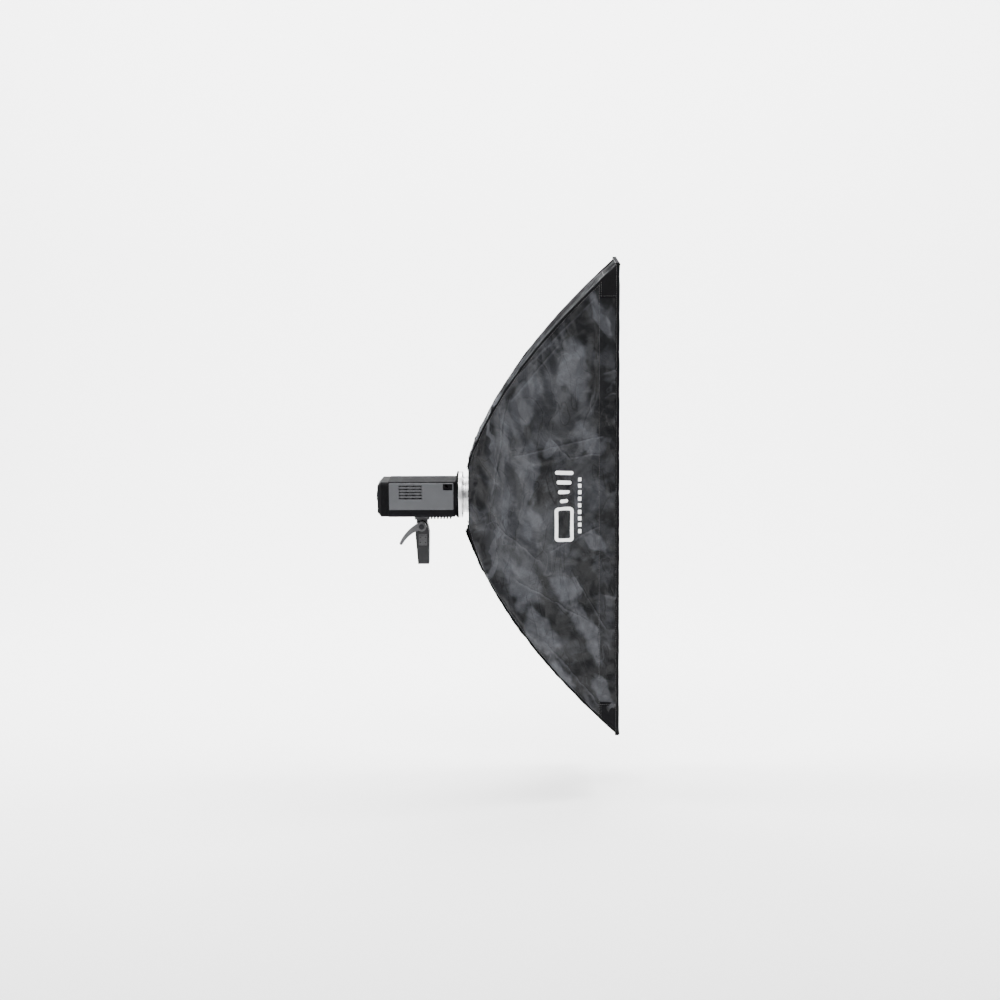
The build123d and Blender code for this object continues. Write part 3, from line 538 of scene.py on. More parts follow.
def nylon(name, print_box=None, matt=0.0, shine=0.17):
    """Coated nylon: smooth broad sheen, crumpled softly, with patches of painted sheen and painted shade
    along creases in its colour.
    """
    f = Finish(name)
    cloth = f.pattern()
    a, w, _ = f.axes(cloth)
    soft = f.noise(f.stretch(cloth, 1.0, 0.6, 1.0), 7, 2, 0.45, 0.9)
    crumple = f.noise(cloth, 18, 4, 0.55, 0.8) + f.noise(cloth, 60, 3, 0.55, 0.4) * 0.22
    crease = (f.noise(f.stretch(cloth, 1.0, 0.45, 1.0), 17, 2, 0.5, 0.5) - 0.5).size().step(0.0, 0.022)
    weave = f.wave(a, 0.0009) * f.wave(w, 0.0009)
    relief = f.bump(soft, 0.016, 0.8)
    relief = f.bump(crumple, 0.0050, 0.7, relief)
    relief = f.bump(crease, 0.0010, 0.4, relief)
    relief = f.bump(weave, 0.00012, 0.3, relief)
    # Painted sheen: mottled grey patches in the colour stand in for the gloss catching the lamps.
    small = f.noise(cloth, 15, 4, 0.58, 0.5).step(0.43, 0.64)
    thin = f.noise(f.stretch(cloth, 1.0, 0.7, 1.0), 46, 3, 0.6, 0.8)
    # Painted highlights along thin pressed lines.
    pressed_highlight = f.noise(f.stretch(cloth, 1.0, 0.55, 1.0), 10, 3, 0.5, 0.4)
    pressed_highlight = (1 - (pressed_highlight - 0.5).size().step(0.0, 0.010)) * f.noise(cloth, 6, 2).step(0.48, 0.60)
    painted_sheen_and_shade = painted_sheen_patches(f, cloth, a, w) * 0.82 + small * 0.34 - 0.06
    # Painted shade darkens the crease lines, and the pressed lines add painted highlight.
    painted_sheen_and_shade = painted_sheen_and_shade * (thin * 0.8 + 0.58) - (1 - crease) * 0.14 + pressed_highlight * 0.22
    lines = crease_lines(f, cloth, a, w)
    # Each sharp crease gets a painted lit side and a painted shaded side in the colour.
    painted_sheen_and_shade = (painted_sheen_and_shade + lines * 0.42).larger(0.0)
    relief = f.bump(lines, 0.0012, 0.6, relief)
    color = f.blend(painted_sheen_and_shade, (0.0045, 0.0047, 0.0056), (0.050, 0.052, 0.059))
    rough = 0.33 + matt - painted_sheen_and_shade * 0.04
    if print_box:
        mark = badge(f, a, w, *print_box)
        color = f.blend(mark, color, (0.90, 0.90, 0.90))
        rough = rough + mark * 0.15
    return f.use(color=color, rough=rough, normal=relief, specular=shine)


# %% [markdown]
# ## A plain printed mark
# Bags like this carry a white print on the side panel. Here it's a plain geometric mark of a lamp's
# housing with its beam, and a row of dashes, drawn with distances: a point is inside a rounded bar if
# it's nearer than the bar's radius to the bar's centre line.

# %% The mark
def bar(f, a, w, at, half_a, half_w, radius):
    """1 inside a rounded rectangle of the pattern, with a soft edge of a quarter of a millimetre."""
    da = ((a - at[0]).size() - (half_a - radius)).larger(0.0)
    dw = ((w - at[1]).size() - (half_w - radius)).larger(0.0)
    gap = (da * da + dw * dw).maths("SQRT")
    return 1 - gap.step(radius - 0.00025, radius + 0.00025)


def badge(f, a, w, low_a, high_a, low_w, high_w):
    middle = ((low_a + high_a) / 2, (low_w + high_w) / 2)
    half_a, half_w = (high_a - low_a) / 2, (high_w - low_w) / 2
    tall = half_w * 0.46
    frame_at = (middle[0], low_w + tall)
    outer = bar(f, a, w, frame_at, half_a, tall, 0.010)
    inner = bar(f, a, w, frame_at, half_a - 0.0085, tall - 0.0085, 0.004)
    mark = outer - inner
    for k in range(4):
        reach = half_a * (0.42 + 0.18 * k)
        at = (middle[0], low_w + 2 * tall + 0.016 + 0.024 * k)
        mark = mark.larger(bar(f, a, w, at, reach, 0.0048, 0.0046))
    dash_a = high_a + 0.016
    for k in range(9):
        at = (dash_a, low_w + half_w * 0.28 + 0.0165 * k)
        mark = mark.larger(bar(f, a, w, at, 0.0042, 0.0052, 0.0018))
    return mark


mark_low, mark_high = near.distance(0.2165), near.distance(0.2650)
NYLON_MARKED = nylon("Nylon with print", (mark_low, mark_high, -0.098, 0.094))
NYLON_FAR = nylon("Nylon of the far side")
NYLON = nylon("Nylon", matt=0.35, shine=0.02)
print("the print lies from", round(mark_low, 3), "to", round(mark_high, 3), "m along the pattern")

# %% [markdown]
# ## The side panels
# The two tall sides are the same pattern. The near one is drawn, folded and settled; the far one is its
# twin turned half round about the optical axis, so it costs nothing and its folds don't mirror the first.

# %% The band where the diffuser's hem holds the panel
hem_low, hem_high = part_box("front_diffuser")
hem_start, hem_end = float(hem_low[0] - RING[0]), float(hem_high[0] - RING[0])


def hem_gap(flat, pattern):
    before, behind = pattern.distance(hem_start) - flat[:, 0], flat[:, 0] - pattern.distance(hem_end)
    return np.maximum(np.maximum(before, behind), 0)


def edge_gap(flat, pattern):
    """How far each pattern point is from the nearest cut edge."""
    ends = np.minimum(flat[:, 0], pattern.length - flat[:, 0])
    return np.minimum(ends, pattern.at("half", flat[:, 0]) - abs(flat[:, 1]))


def hem_hold(flat, pattern):
    """0 in the band, 1 away from it."""
    return np.clip(hem_gap(flat, pattern) / 0.012, 0, 1)


def rod_hold(flat, pattern):
    """Small beside the seams, where a rod lies under the cloth, and 1 from 35 mm inwards."""
    return np.clip((pattern.at("half", flat[:, 0]) - abs(flat[:, 1])) / 0.035, 0.08, 1)


def on_hem_line(flat, pattern):
    return hem_gap(flat, pattern) < 0.003


# %% Folds of a side panel
# From and to as forwards and upwards of the ring, then width, height (a valley is below 0) and sharpness
SIDE_FOLDS = [
    ((0.060, 0.215), (0.024, 0.090), 0.010, 0.0055), ((0.026, 0.100), (0.013, 0.0), 0.010, 0.0050),
    ((0.013, 0.010), (0.026, -0.100), 0.010, 0.0050), ((0.024, -0.090), (0.056, -0.262), 0.010, 0.0055),
    ((0.074, 0.200), (0.040, -0.020), 0.008, -0.0040, 0.4),
    ((0.042, 0.010), (0.066, -0.225), 0.008, -0.0040, 0.4),
    ((0.094, 0.235), (0.078, -0.240), 0.016, 0.0050, 0.2),
    ((0.120, 0.180), (0.118, -0.200), 0.014, -0.0035, 0.3), ((0.150, 0.270), (0.140, 0.080), 0.030, 0.0050),
    ((0.236, 0.385), (0.196, 0.190), 0.024, -0.0060, 0.1), ((0.285, 0.400), (0.262, 0.205), 0.026, 0.0055),
    ((0.322, 0.480), (0.308, 0.215), 0.018, -0.0050, 0.2),
    ((0.100, 0.105), (0.330, 0.172), 0.007, 0.0034, 0.8),
    ((0.150, 0.090), (0.318, 0.118), 0.012, -0.0036, 0.4),
    ((0.190, 0.060), (0.330, -0.020), 0.020, 0.0040, 0.3),
    ((0.135, 0.040), (0.180, -0.150), 0.020, -0.0045, 0.2),
    ((0.150, -0.120), (0.325, -0.160), 0.010, 0.0036, 0.7),
    ((0.120, -0.190), (0.240, -0.330), 0.022, -0.0055, 0.2),
    ((0.180, -0.220), (0.290, -0.390), 0.024, 0.0050, 0.2),
    ((0.250, -0.200), (0.320, -0.430), 0.018, -0.0045, 0.3),
    ((0.090, -0.250), (0.190, -0.390), 0.009, 0.0032, 0.7),
    ((0.348, 0.330), (0.376, 0.338), 0.006, 0.0022, 0.7),
    ((0.348, 0.265), (0.376, 0.280), 0.006, 0.0022, 0.7),
    ((0.346, -0.230), (0.376, -0.242), 0.006, 0.0020, 0.7),
    ((0.346, 0.020), (0.376, 0.034), 0.006, 0.0020, 0.7)]


def side_folds(flat):
    lift = np.zeros(len(flat))
    for (x0, z0), (x1, z1), *shape in SIDE_FOLDS:
        lift += ridge(flat, (near.distance(x0), z0), (near.distance(x1), z1), *shape)
    lift += puckers(flat, near, 110, seed=4)
    lift += soft_noise(flat, 0.15, seed=9) * 0.0017 + soft_noise(flat, 0.055, seed=12) * 0.0009
    return lift * np.clip(edge_gap(flat, near) / 0.008, 0, 1) * hem_hold(flat, near)


side_flat, side_faces, side_edge = cut(near, 0.0052, seed=3)
side_points = near.place(*side_flat.T, lift=side_folds(side_flat))
panel_near = make_piece("cloth_near", side_points, side_faces, side_flat)
face_out(panel_near)
settle(panel_near, side_edge | on_hem_line(side_flat, near), slack=0.012, hold=rod_hold(side_flat, near))
print("near panel", len(side_flat), "points", len(side_faces), "triangles")


def turned_twin(piece, name):
    """The same sheet turned half round about the optical axis."""
    twin = piece.copy()
    twin.data = piece.data.copy()
    twin.name = twin.data.name = name
    for vertex in twin.data.vertices:
        x, y, z = vertex.co
        vertex.co = (x, 2 * RING[1] - y, 2 * RING[2] - z)
    twin.data.update()
    bpy.context.scene.collection.objects.link(twin)
    return twin


panel_far = turned_twin(panel_near, "cloth_far")

# %% [markdown]
# ## The end panels
# The two narrow ends bend much more than the sides. Each has an opening near the ring, where a hand
# pushes the rods into their sockets, and a flap closes over it.

# %% Cut and settle the end panels
opening_half = 0.062
opening_start, opening_end = top.distance(0.0) + 0.004, top.distance(0.027)
top_flat, top_faces, top_edge = cut(top, 0.0052, (opening_start, opening_end, opening_half), seed=5)
rim_gap = np.maximum(opening_start - top_flat[:, 0], top_flat[:, 0] - opening_end)
rim_gap = np.maximum(abs(top_flat[:, 1]) - opening_half, rim_gap)
top_edge = top_edge | (rim_gap < 5e-4)


def end_folds(flat):
    lift = puckers(flat, top, 90, seed=14, reach=(0.02, 0.07))
    rng = np.random.default_rng(21)
    for _ in range(16):
        a = rng.uniform(0.18, 0.64)
        w = rng.uniform(-0.09, 0.09)
        turn = rng.uniform(-0.5, 0.5)
        length = rng.uniform(0.05, 0.13)
        start = (a - length * math.cos(turn), w - length * math.sin(turn))
        end = (a + length * math.cos(turn), w + length * math.sin(turn))
        lift += ridge(flat, start, end, rng.uniform(0.008, 0.022), rng.uniform(-0.004, 0.004), 0.3)
    lift += soft_noise(flat, 0.14, seed=33) * 0.0010
    gap = np.minimum(edge_gap(flat, top), np.maximum(rim_gap, 0) + 0.002)
    return lift * np.clip(gap / 0.010, 0, 1) * hem_hold(flat, top)


panel_top = make_piece("cloth_top", top.place(*top_flat.T, lift=end_folds(top_flat)), top_faces, top_flat)
face_out(panel_top)
settle(panel_top, top_edge | on_hem_line(top_flat, top), slack=0.010, hold=rod_hold(top_flat, top))
panel_bottom = turned_twin(panel_top, "cloth_bottom")
print("end panel", len(top_flat), "points", len(top_faces), "triangles")

def give(piece, material):
    piece.data.materials.clear()
    piece.data.materials.append(material)
    return piece


def thicken(piece, thickness, offset=-1.0):
    wall = piece.modifiers.new("thickness", "SOLIDIFY")
    wall.thickness = thickness
    wall.offset = offset
    return piece


PANELS = ((panel_near, near, "side_panel_near", NYLON_MARKED), (panel_far, far, "side_panel_far", NYLON_FAR),
          (panel_top, top, "end_panel_top", NYLON), (panel_bottom, bottom, "end_panel_bottom", NYLON))
for piece, pattern, node, material in PANELS:
    give(piece, material)
    thicken(piece, 0.0006)
    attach(piece, "softbox")
    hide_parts(node)
print("four panels sewn to the rods")

# %% [markdown]
# ## Silver lining
# The inside of the bag is the same nylon with a bright, finely embossed metal film. It throws the light
# forwards. It's sewn in with the panel, so it follows the settled panel's folds, a few millimetres inside.

# %% Lining
def silver():
    f = Finish("Silver film")
    cloth = f.pattern()
    a, w, _ = f.axes(cloth)
    grain = f.wave(a + w, 0.0024) * f.wave(a - w, 0.0024)
    crumple = f.noise(cloth, 22, 4, 0.6, 0.8)
    relief = f.bump(crumple, 0.006, 0.6)
    relief = f.bump(grain, 0.0003, 0.5, relief)
    color = f.blend(f.noise(cloth, 9, 4), (0.62, 0.63, 0.65), (0.80, 0.80, 0.82))
    return f.use(color=color, rough=f.noise(cloth, 14, 3) * 0.15 + 0.28, metal=0.9, normal=relief)


SILVER = silver()


def line_panel(panel, name, pattern, depth=0.0022, inwards=0.0016):
    """A lining that follows its settled panel, a little way inside it."""
    lining = bpy.data.objects.new(name, panel.data.copy())
    lining.data.name = name
    bpy.context.scene.collection.objects.link(lining)
    mesh = lining.data
    co = np.empty(len(mesh.vertices) * 3, np.float32)
    mesh.vertices.foreach_get("co", co)
    normal = np.array([tuple(v.normal) for v in mesh.vertices])
    index = np.array([loop.vertex_index for loop in mesh.loops])
    uv = np.array([tuple(layer.uv) for layer in mesh.uv_layers["Pattern"].data])
    flat = np.zeros((len(mesh.vertices), 2))
    flat[index] = uv
    inset = depth * np.clip(0.35 + edge_gap(flat, pattern) / 0.01, 0, 1)
    co = co.reshape(-1, 3) - normal * inset[:, None]
    co[:, 1:] -= np.sign(co[:, 1:] - np.array(RING[1:])) * inwards
    mesh.vertices.foreach_set("co", co.astype(np.float32).ravel())
    mesh.flip_normals()
    mesh.update()
    give(lining, SILVER)
    return lining


for panel, pattern, _, _ in PANELS:
    lining = line_panel(panel, panel.name.replace("cloth", "lining"), pattern)
    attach(lining, "softbox")
    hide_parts("silver_lining")
print("lining in four panels")

# %% [markdown]
# ## Webbing, tape and white cloth
# The mouth's edge and the corners are bound in black ribbed webbing. The front is a white cloth that
# scatters light. Both are woven, so each gets its weave at its real size.

# %% Webbing and white cloth
def webbing(name="Webbing", color_low=(0.003, 0.003, 0.0034), color_high=(0.009, 0.009, 0.010)):
    f = Finish(name)
    place = f.place()
    x, y, z = f.axes(place)
    rib = f.wave(z + x * 0.4 + y * 0.4, 0.0016)
    cross = f.wave(x - z * 0.6 + y, 0.0011)
    relief = f.bump(rib * 0.6 + cross * 0.4, 0.0003, 0.7)
    color = f.blend(f.noise(place, 300, 3, 0.7), color_low, color_high)
    return f.use(color=color, rough=0.85, normal=relief, specular=0.04)


def white_cloth():
    f = Finish("White diffuser cloth")
    cloth = f.pattern()
    a, w, _ = f.axes(cloth)
    weave = f.wave(a, 0.0012) * f.wave(w, 0.0012)
    relief = f.bump(f.noise(cloth, 8, 4, 0.5, 0.4), 0.004, 0.5)
    relief = f.bump(weave, 0.0002, 0.4, relief)
    color = f.blend(f.noise(cloth, 5, 4), (0.80, 0.80, 0.79), (0.88, 0.88, 0.87))
    return f.use(color=color, rough=0.72, normal=relief, sheen=0.2)


WEBBING = webbing()
ELASTIC = webbing("Elastic", (0.010, 0.010, 0.011), (0.03, 0.03, 0.032))
WHITE = white_cloth()
HOOK = webbing("Hook tape", (0.006, 0.006, 0.006), (0.030, 0.030, 0.030))
print("woven finishes:", WEBBING.name, ELASTIC.name, HOOK.name, WHITE.name)

# %% [markdown]
# ## The front diffuser and the inner one
# The front is a flat rectangle of cloth with a deep hem, held by hook tape a few centimetres inside the
# mouth. It sags a little between its edges. A smaller one hangs on elastic straps behind it.

# %% Flat cloths across the bag
def grid_cloth(name, x, low, high, size, bow, seed):
    """A rectangle across the bag at distance x, facing forwards, bowed backwards by bow."""
    (y0, z0), (y1, z1) = low, high
    ny, nz = int((y1 - y0) / size) + 1, int((z1 - z0) / size) + 1
    ys, zs = np.linspace(y0, y1, ny), np.linspace(z0, z1, nz)
    gy, gz = np.meshgrid(ys, zs, indexing="ij")
    u, v = (gy - y0) / (y1 - y0), (gz - z0) / (z1 - z0)
    flat = np.stack([gy.ravel(), gz.ravel()], axis=1)
    edge = (4 * u * (1 - u)) ** 0.6 * (4 * v * (1 - v)) ** 0.4
    ripple = soft_noise(flat, 0.11, seed).reshape(gy.shape) * 0.0016
    fan = np.sin(gz * 2 * math.pi / 0.034 + 3 * np.sin(gy * 21)) * 0.0012
    fan *= np.exp(-np.minimum(u, 1 - u) / 0.10)
    lift = -bow * edge + (ripple + fan) * np.clip(edge * 3, 0, 1)
    points = np.stack([RING[0] + x + lift, RING[1] + gy, RING[2] + gz], axis=-1).reshape(-1, 3)
    return make_piece(name, points, quads(ny, nz), flat)


diffuser_x = float(hem_low[0] - RING[0] + 0.0006)
cloth_half = [float(np.interp(diffuser_x, forward, half)) - 0.006 for half in (half_width, half_height)]
front_cloth = grid_cloth("front_cloth", diffuser_x, [-v for v in cloth_half], cloth_half, 0.0085, 0.006, 61)
b_low, b_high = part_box("inner_baffle")
baffle_cloth = grid_cloth("baffle_cloth", float(b_low[0] - RING[0]), (b_low[1], b_low[2] - RING[2]),
                          (b_high[1], b_high[2] - RING[2]), 0.009, 0.004, 62)
hem_parts = []
for pattern in (near, far, top, bottom):
    a = np.linspace(pattern.distance(diffuser_x) - 0.001, pattern.distance(hem_end) - 0.002, 5)
    reach = float(pattern.at("half", a[0])) - 0.009
    w = np.linspace(-reach, reach, 90)
    grid_a, grid_w = np.meshgrid(a, w, indexing="ij")
    drop = np.interp(a, (a[0], a[-1]), (-0.0052, -0.0042))[:, None] + np.sin(grid_w * 260) * 0.0002
    points = pattern.place(grid_a.ravel(), grid_w.ravel(), drop.ravel())
    hem_parts.append((points, quads(*grid_a.shape), np.stack([grid_a.ravel(), grid_w.ravel()], axis=1)))
front_hem = make_piece("front_hem", *join(hem_parts))
for piece in (front_cloth, front_hem, baffle_cloth):
    give(piece, WHITE)
    thicken(piece, 0.0005)
    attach(piece, "softbox")
    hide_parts("inner_baffle" if piece is baffle_cloth else "front_diffuser")
print("two white cloths")

# %% [markdown]
# ## Flaps, collar and pockets
# The back of the bag is closed by loose pieces. A collar of cloth with an elastic edge grips the neck, and
# two flaps cover the rod sockets. The lower flap doesn't lie quite shut. Webbing pockets at the corners
# take the strain of the rods' tips.

# %% Patches that lie on a panel
def patch(pattern, start, end, low, high, lift, size=0.006):
    """Points, faces and flat positions of a patch from a=start to a=end, between low(a) and high(a)."""
    rows = max(2, int((end - start) / size) + 1)
    a = np.linspace(start, end, rows)
    lows, highs = low(a), high(a)
    columns = max(2, int(float((highs - lows).max()) / size) + 1)
    v = np.linspace(0, 1, columns)
    grid_a = np.repeat(a[:, None], columns, axis=1)
    grid_w = lows[:, None] + (highs - lows)[:, None] * v
    flat = np.stack([grid_a.ravel(), grid_w.ravel()], axis=1)
    return pattern.place(flat[:, 0], flat[:, 1], lift(flat)), quads(rows, columns), flat


# %% The rear flaps
flap_end = top.distance(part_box("rear_flap_top")[1][0] - RING[0])


def flap_cloth(name, pattern, ajar, seed, body, node):
    def lift(flat):
        free = 1 - flat[:, 0] / flap_end
        across = flat[:, 1] / pattern.at("half", flat[:, 0])
        rise = 0.0026 + ajar * free ** 1.4 * (0.35 + 0.65 * across ** 2)
        rise = rise + 0.0022 * np.sin(np.pi * free) * (1 - across ** 2)
        crumple = soft_noise(flat, 0.055, seed) * 0.0011 + soft_noise(flat, 0.022, seed + 1) * 0.0004
        creases = sum(ridge(flat, *line) for line in flap_creases(seed))
        hem = 0.0007 * (np.minimum(flat[:, 0], half(flat[:, 0]) - abs(flat[:, 1])) < 0.011)
        return rise + (crumple + creases) * np.clip(free * 5, 0, 1) + hem

    def half(a):
        return pattern.at("half", a) - 0.003

    start = 0.0015
    parts = patch(pattern, start, flap_end, lambda a: -half(a), half, lift, 0.0042)
    piece = face_out(make_piece(name, *parts))
    give(piece, NYLON)
    thicken(piece, 0.0011)
    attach(piece, body)
    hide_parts(node)
    width = 2 * float(half(flap_end))
    a = np.linspace(start, flap_end, 60)
    area = float(np.sum(2 * half(a)[1:] * np.diff(a)))
    return piece


def flap_creases(seed):
    rng = np.random.default_rng(seed)
    for _ in range(9):
        a, w, turn = rng.uniform(0.02, 0.13), rng.uniform(-0.07, 0.07), rng.uniform(0, math.pi)
        reach = rng.uniform(0.02, 0.05)
        step = np.array((math.cos(turn), math.sin(turn))) * reach
        yield (a, w) - step, (a, w) + step, rng.uniform(0.004, 0.010), rng.uniform(-0.002, 0.002), 0.5


flap_top = flap_cloth("flap_top", top, 0.0018, 71, "top_flap", "rear_flap_top")
flap_bottom = flap_cloth("flap_bottom", bottom, 0.0075, 77, "bottom_flap", "rear_flap_bottom")
print("flaps", round(flap_end, 3), "m long")

# %% The collar round the neck
collar_low, collar_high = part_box("rear_collar")


def collar_cloth():
    turns, rings = 260, 16
    neck = 0.0493
    half = float(collar_high[1] - collar_low[1]) / 2
    points, flat, faces = [], [], []
    for i in range(rings):
        for k in range(turns):
            angle = 2 * math.pi * k / turns
            c, s = math.cos(angle), math.sin(angle)
            reach = half / (abs(c) ** 9 + abs(s) ** 9) ** (1 / 9)
            t = i / (rings - 1)
            r = neck + (reach - neck) * t
            gather = math.sin(angle * 34 + 1.7 * math.sin(angle * 5)) * 0.0011 * (1 - t) ** 1.5
            roll = 0.0012 * math.exp(-((r - neck) / 0.0025) ** 2)
            x = RING[0] - 0.0036 - roll + gather - 0.0006 * math.sin(angle * 11 + 2) * t * (1 - t) * 4
            points.append((x, RING[1] + r * c, RING[2] + r * s))
            flat.append((r * c, r * s))
    for i in range(rings - 1):
        for k in range(turns):
            a, b = i * turns + k, i * turns + (k + 1) % turns
            faces.append((a, b, b + turns, a + turns))
    piece = face_out(make_piece("collar", points, faces, np.array(flat)))
    give(piece, NYLON)
    thicken(piece, 0.0008)
    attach(piece, "softbox")
    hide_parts("rear_collar")


collar_cloth()
print("collar round the neck")

# %% Webbing pockets, mouth binding and seam tapes
pocket_start = 0.332


def pocket_reach(pattern, a):
    """How far across the panel the inner edge of a pocket that starts at a lies."""
    return float(pattern.at("half", a)) - 0.042 if pattern.tall else float(half_width[-1]) - 0.036


def corner_patches():
    parts = []
    for pattern in (near, far, top, bottom):
        start = pattern.distance(pocket_start)
        reach = pocket_reach(pattern, start)
        for side in (-1, 1):
            def low(a, side=side, reach=reach):
                return np.full(len(a), reach * side)

            def high(a, side=side, pattern=pattern):
                return (pattern.at("half", a) + 0.002) * side

            def lift(flat, reach=reach, start=start, pattern=pattern):
                edge = np.minimum(abs(flat[:, 1]) - reach, flat[:, 0] - start)
                crown = 0.0006 * np.clip(edge / 0.004, 0, 1) + 0.0003 * (edge < 0.003)
                return 0.0014 + crown + soft_noise(flat, 0.05, 5) * 0.0002

            parts.append(patch(pattern, start, pattern.length, low, high, lift, 0.0035))
    piece = face_each(make_piece("pockets", *join(parts)), True)
    return thicken(give(piece, WEBBING), 0.0012)


# The binding's section as it folds over the mouth's edge: how far back from the edge, and how far out
BINDING = [(0.0085, 0.0012), (0.0078, 0.0021), (0.0040, 0.0024), (0.0, 0.0024), (-0.0016, 0.0012),
           (-0.0021, -0.0010), (-0.0016, -0.0032), (0.0, -0.0042), (0.0078, -0.0042)]


def mouth_tape():
    parts = []
    for pattern in (near, far, top, bottom):
        half = float(pattern.half[-1]) + 0.0022
        count = int(2 * half / 0.006)
        w = np.linspace(-half, half, count)
        rows, flats = [], []
        for k, (back, rise) in enumerate(BINDING):
            flat = np.stack([np.full(count, pattern.length - back), w], axis=1)
            wave = soft_noise(np.stack([w * 0 + k * 0.001, w], axis=1), 0.07, 8) * 0.0004
            held = np.minimum(flat[:, 0], pattern.length)
            points = pattern.place(held, w, np.full(count, rise) + wave * (rise > 0))
            points[:, 0] += np.maximum(flat[:, 0] - pattern.length, 0) + wave * (back < 0.001)
            rows.append(points)
            flats.append(flat)
        parts.append((np.concatenate(rows), quads(len(rows), count), np.concatenate(flats)))
    piece = make_piece("mouth_tape", *join(parts))
    bm = bmesh.new()
    bm.from_mesh(piece.data)
    bmesh.ops.recalc_face_normals(bm, faces=bm.faces)
    bm.to_mesh(piece.data)
    bm.free()
    return give(piece, WEBBING)


# The seam tape's section, folded over the edge: how far down the side, how far down the end, how far out
SEAM_TAPE = [(0.0052, 0, 0.0003), (0.0048, 0, 0.0012), (0.0012, 0, 0.0019), (0, 0, 0.0016),
             (0, 0.0012, 0.0019), (0, 0.0048, 0.0012), (0, 0.0052, 0.0003)]
CORNERS = ((-1, 1), (1, 1), (-1, -1), (1, -1))


def seam_tapes():
    t = np.linspace(0.0, 0.985, 190)
    seam = seam_points(t)
    slope = seam_points(np.clip(t + 0.004, 0, 1)) - seam_points(np.clip(t - 0.004, 0, 1))
    run = np.concatenate([[0], np.cumsum(np.linalg.norm(np.diff(seam, axis=0), axis=1))])
    side_out = np.stack([-slope[:, 1], slope[:, 0]], axis=1) / np.hypot(slope[:, 0], slope[:, 1])[:, None]
    end_out = np.stack([-slope[:, 2], slope[:, 0]], axis=1) / np.hypot(slope[:, 0], slope[:, 2])[:, None]
    zero = np.zeros(len(t))
    n_side = np.stack([side_out[:, 0], side_out[:, 1], zero], axis=1)
    n_end = np.stack([end_out[:, 0], zero, end_out[:, 1]], axis=1)
    parts = []
    for corner, (sy, sz) in enumerate(CORNERS):
        wave = soft_noise(np.stack([run, run * 0 + corner], axis=1), 0.05, 90 + corner) * 0.00045
        rows = []
        for on_side, on_end, rise in SEAM_TAPE:
            point = seam + np.array((0, -on_end, -on_side))
            both = n_side * (on_end == 0) + n_end * (on_side == 0)
            rows.append(point + both * (rise + wave)[:, None])
        points = np.stack(rows, axis=1).reshape(-1, 3) * (1, sy, sz) + RING
        count = len(rows)
        flat = np.stack([np.repeat(run, count), np.tile(np.linspace(0, 0.012, count), len(run))], axis=1)
        faces = quads(len(run), count)
        parts.append((points, faces[:, ::-1] if sy * sz > 0 else faces, flat))
    return give(make_piece("seam_tapes", *join(parts)), WEBBING)


pockets, binding, seams = corner_patches(), mouth_tape(), seam_tapes()
for piece in (pockets, binding, seams):
    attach(piece, "softbox")
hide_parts("corner_pockets")
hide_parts("front_binding")
print("pockets", len(pockets.data.polygons), "faces, tape", len(binding.data.polygons), "faces")

# %% [markdown]
# ## Hook tape and elastic straps
# Inside the mouth a strip of hook tape takes the diffuser's hem. The inner cloth hangs from the seams by
# four short elastic straps with press studs.

# %% Hook tape and straps
hook_low, hook_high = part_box("hook_tape")
hook_from, hook_to = float(hook_low[0] - RING[0]), float(hook_high[0] - RING[0])


def hooks():
    parts = []
    for pattern in (near, far, top, bottom):
        start, end = pattern.distance(hook_from), pattern.distance(hook_to)
        reach = float(pattern.at("half", start)) - 0.019

        def half(a, reach=reach):
            return np.full(len(a), reach)

        def lift(flat):
            return -0.0034 + soft_noise(flat, 0.06, 3) * 0.0002

        parts.append(patch(pattern, start, end, lambda a, half=half: -half(a), half, lift, 0.008))
    piece = face_each(make_piece("hooks", *join(parts)), False)
    return thicken(give(piece, HOOK), 0.0010)


def ribbons():
    """Four straps from the baffle's corners to the seams. Each has a middle line and two edges."""
    points, faces, flat = [], [], []
    x = float(b_high[0]) + 0.0008
    here = int(np.argmin(abs(forward - (b_low[0] - RING[0]))))
    outer = np.array((half_width[here] - 0.014, half_height[here] - 0.014))
    inner = np.array((float(b_high[1]) - 0.012, float(b_high[2] - RING[2]) - 0.012))
    along = (outer - inner) / np.hypot(*(outer - inner))
    across = np.array((-along[1], along[0])) * 0.006
    for sy, sz in CORNERS:
        start = len(points)
        for k in range(25):
            t = k / 24
            centre = inner + (outer - inner) * t
            sag = -0.0035 * math.sin(math.pi * t) + 0.0005 * math.sin(t * 60)
            for side in (-1, 0, 1):
                y, z = centre + across * side
                points.append((x + sag, RING[1] + y * sy, RING[2] + z * sz))
                flat.append((t * 0.13, side * 0.006))
        for k in range(24):
            for j in range(2):
                a = start + k * 3 + j
                quad = (a, a + 1, a + 4, a + 3)
                faces.append(quad if sy * sz > 0 else quad[::-1])
    piece = make_piece("straps", points, faces, np.array(flat))
    return thicken(give(piece, ELASTIC), 0.0009, 0)


hook_piece, strap_piece = hooks(), ribbons()
for piece, node in ((hook_piece, "hook_tape"), (strap_piece, "baffle_straps")):
    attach(piece, "softbox")
    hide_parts(node)
print("hook tape from", round(hook_from, 3), "to", round(hook_to, 3), "m in front of the ring")

# %% [markdown]
# ## Stitches
# Every edge is sewn with black thread. A node tree takes the sewing lines, walks along them at the
# machine's pitch and lays one small stitch at each step, turned to follow the line.

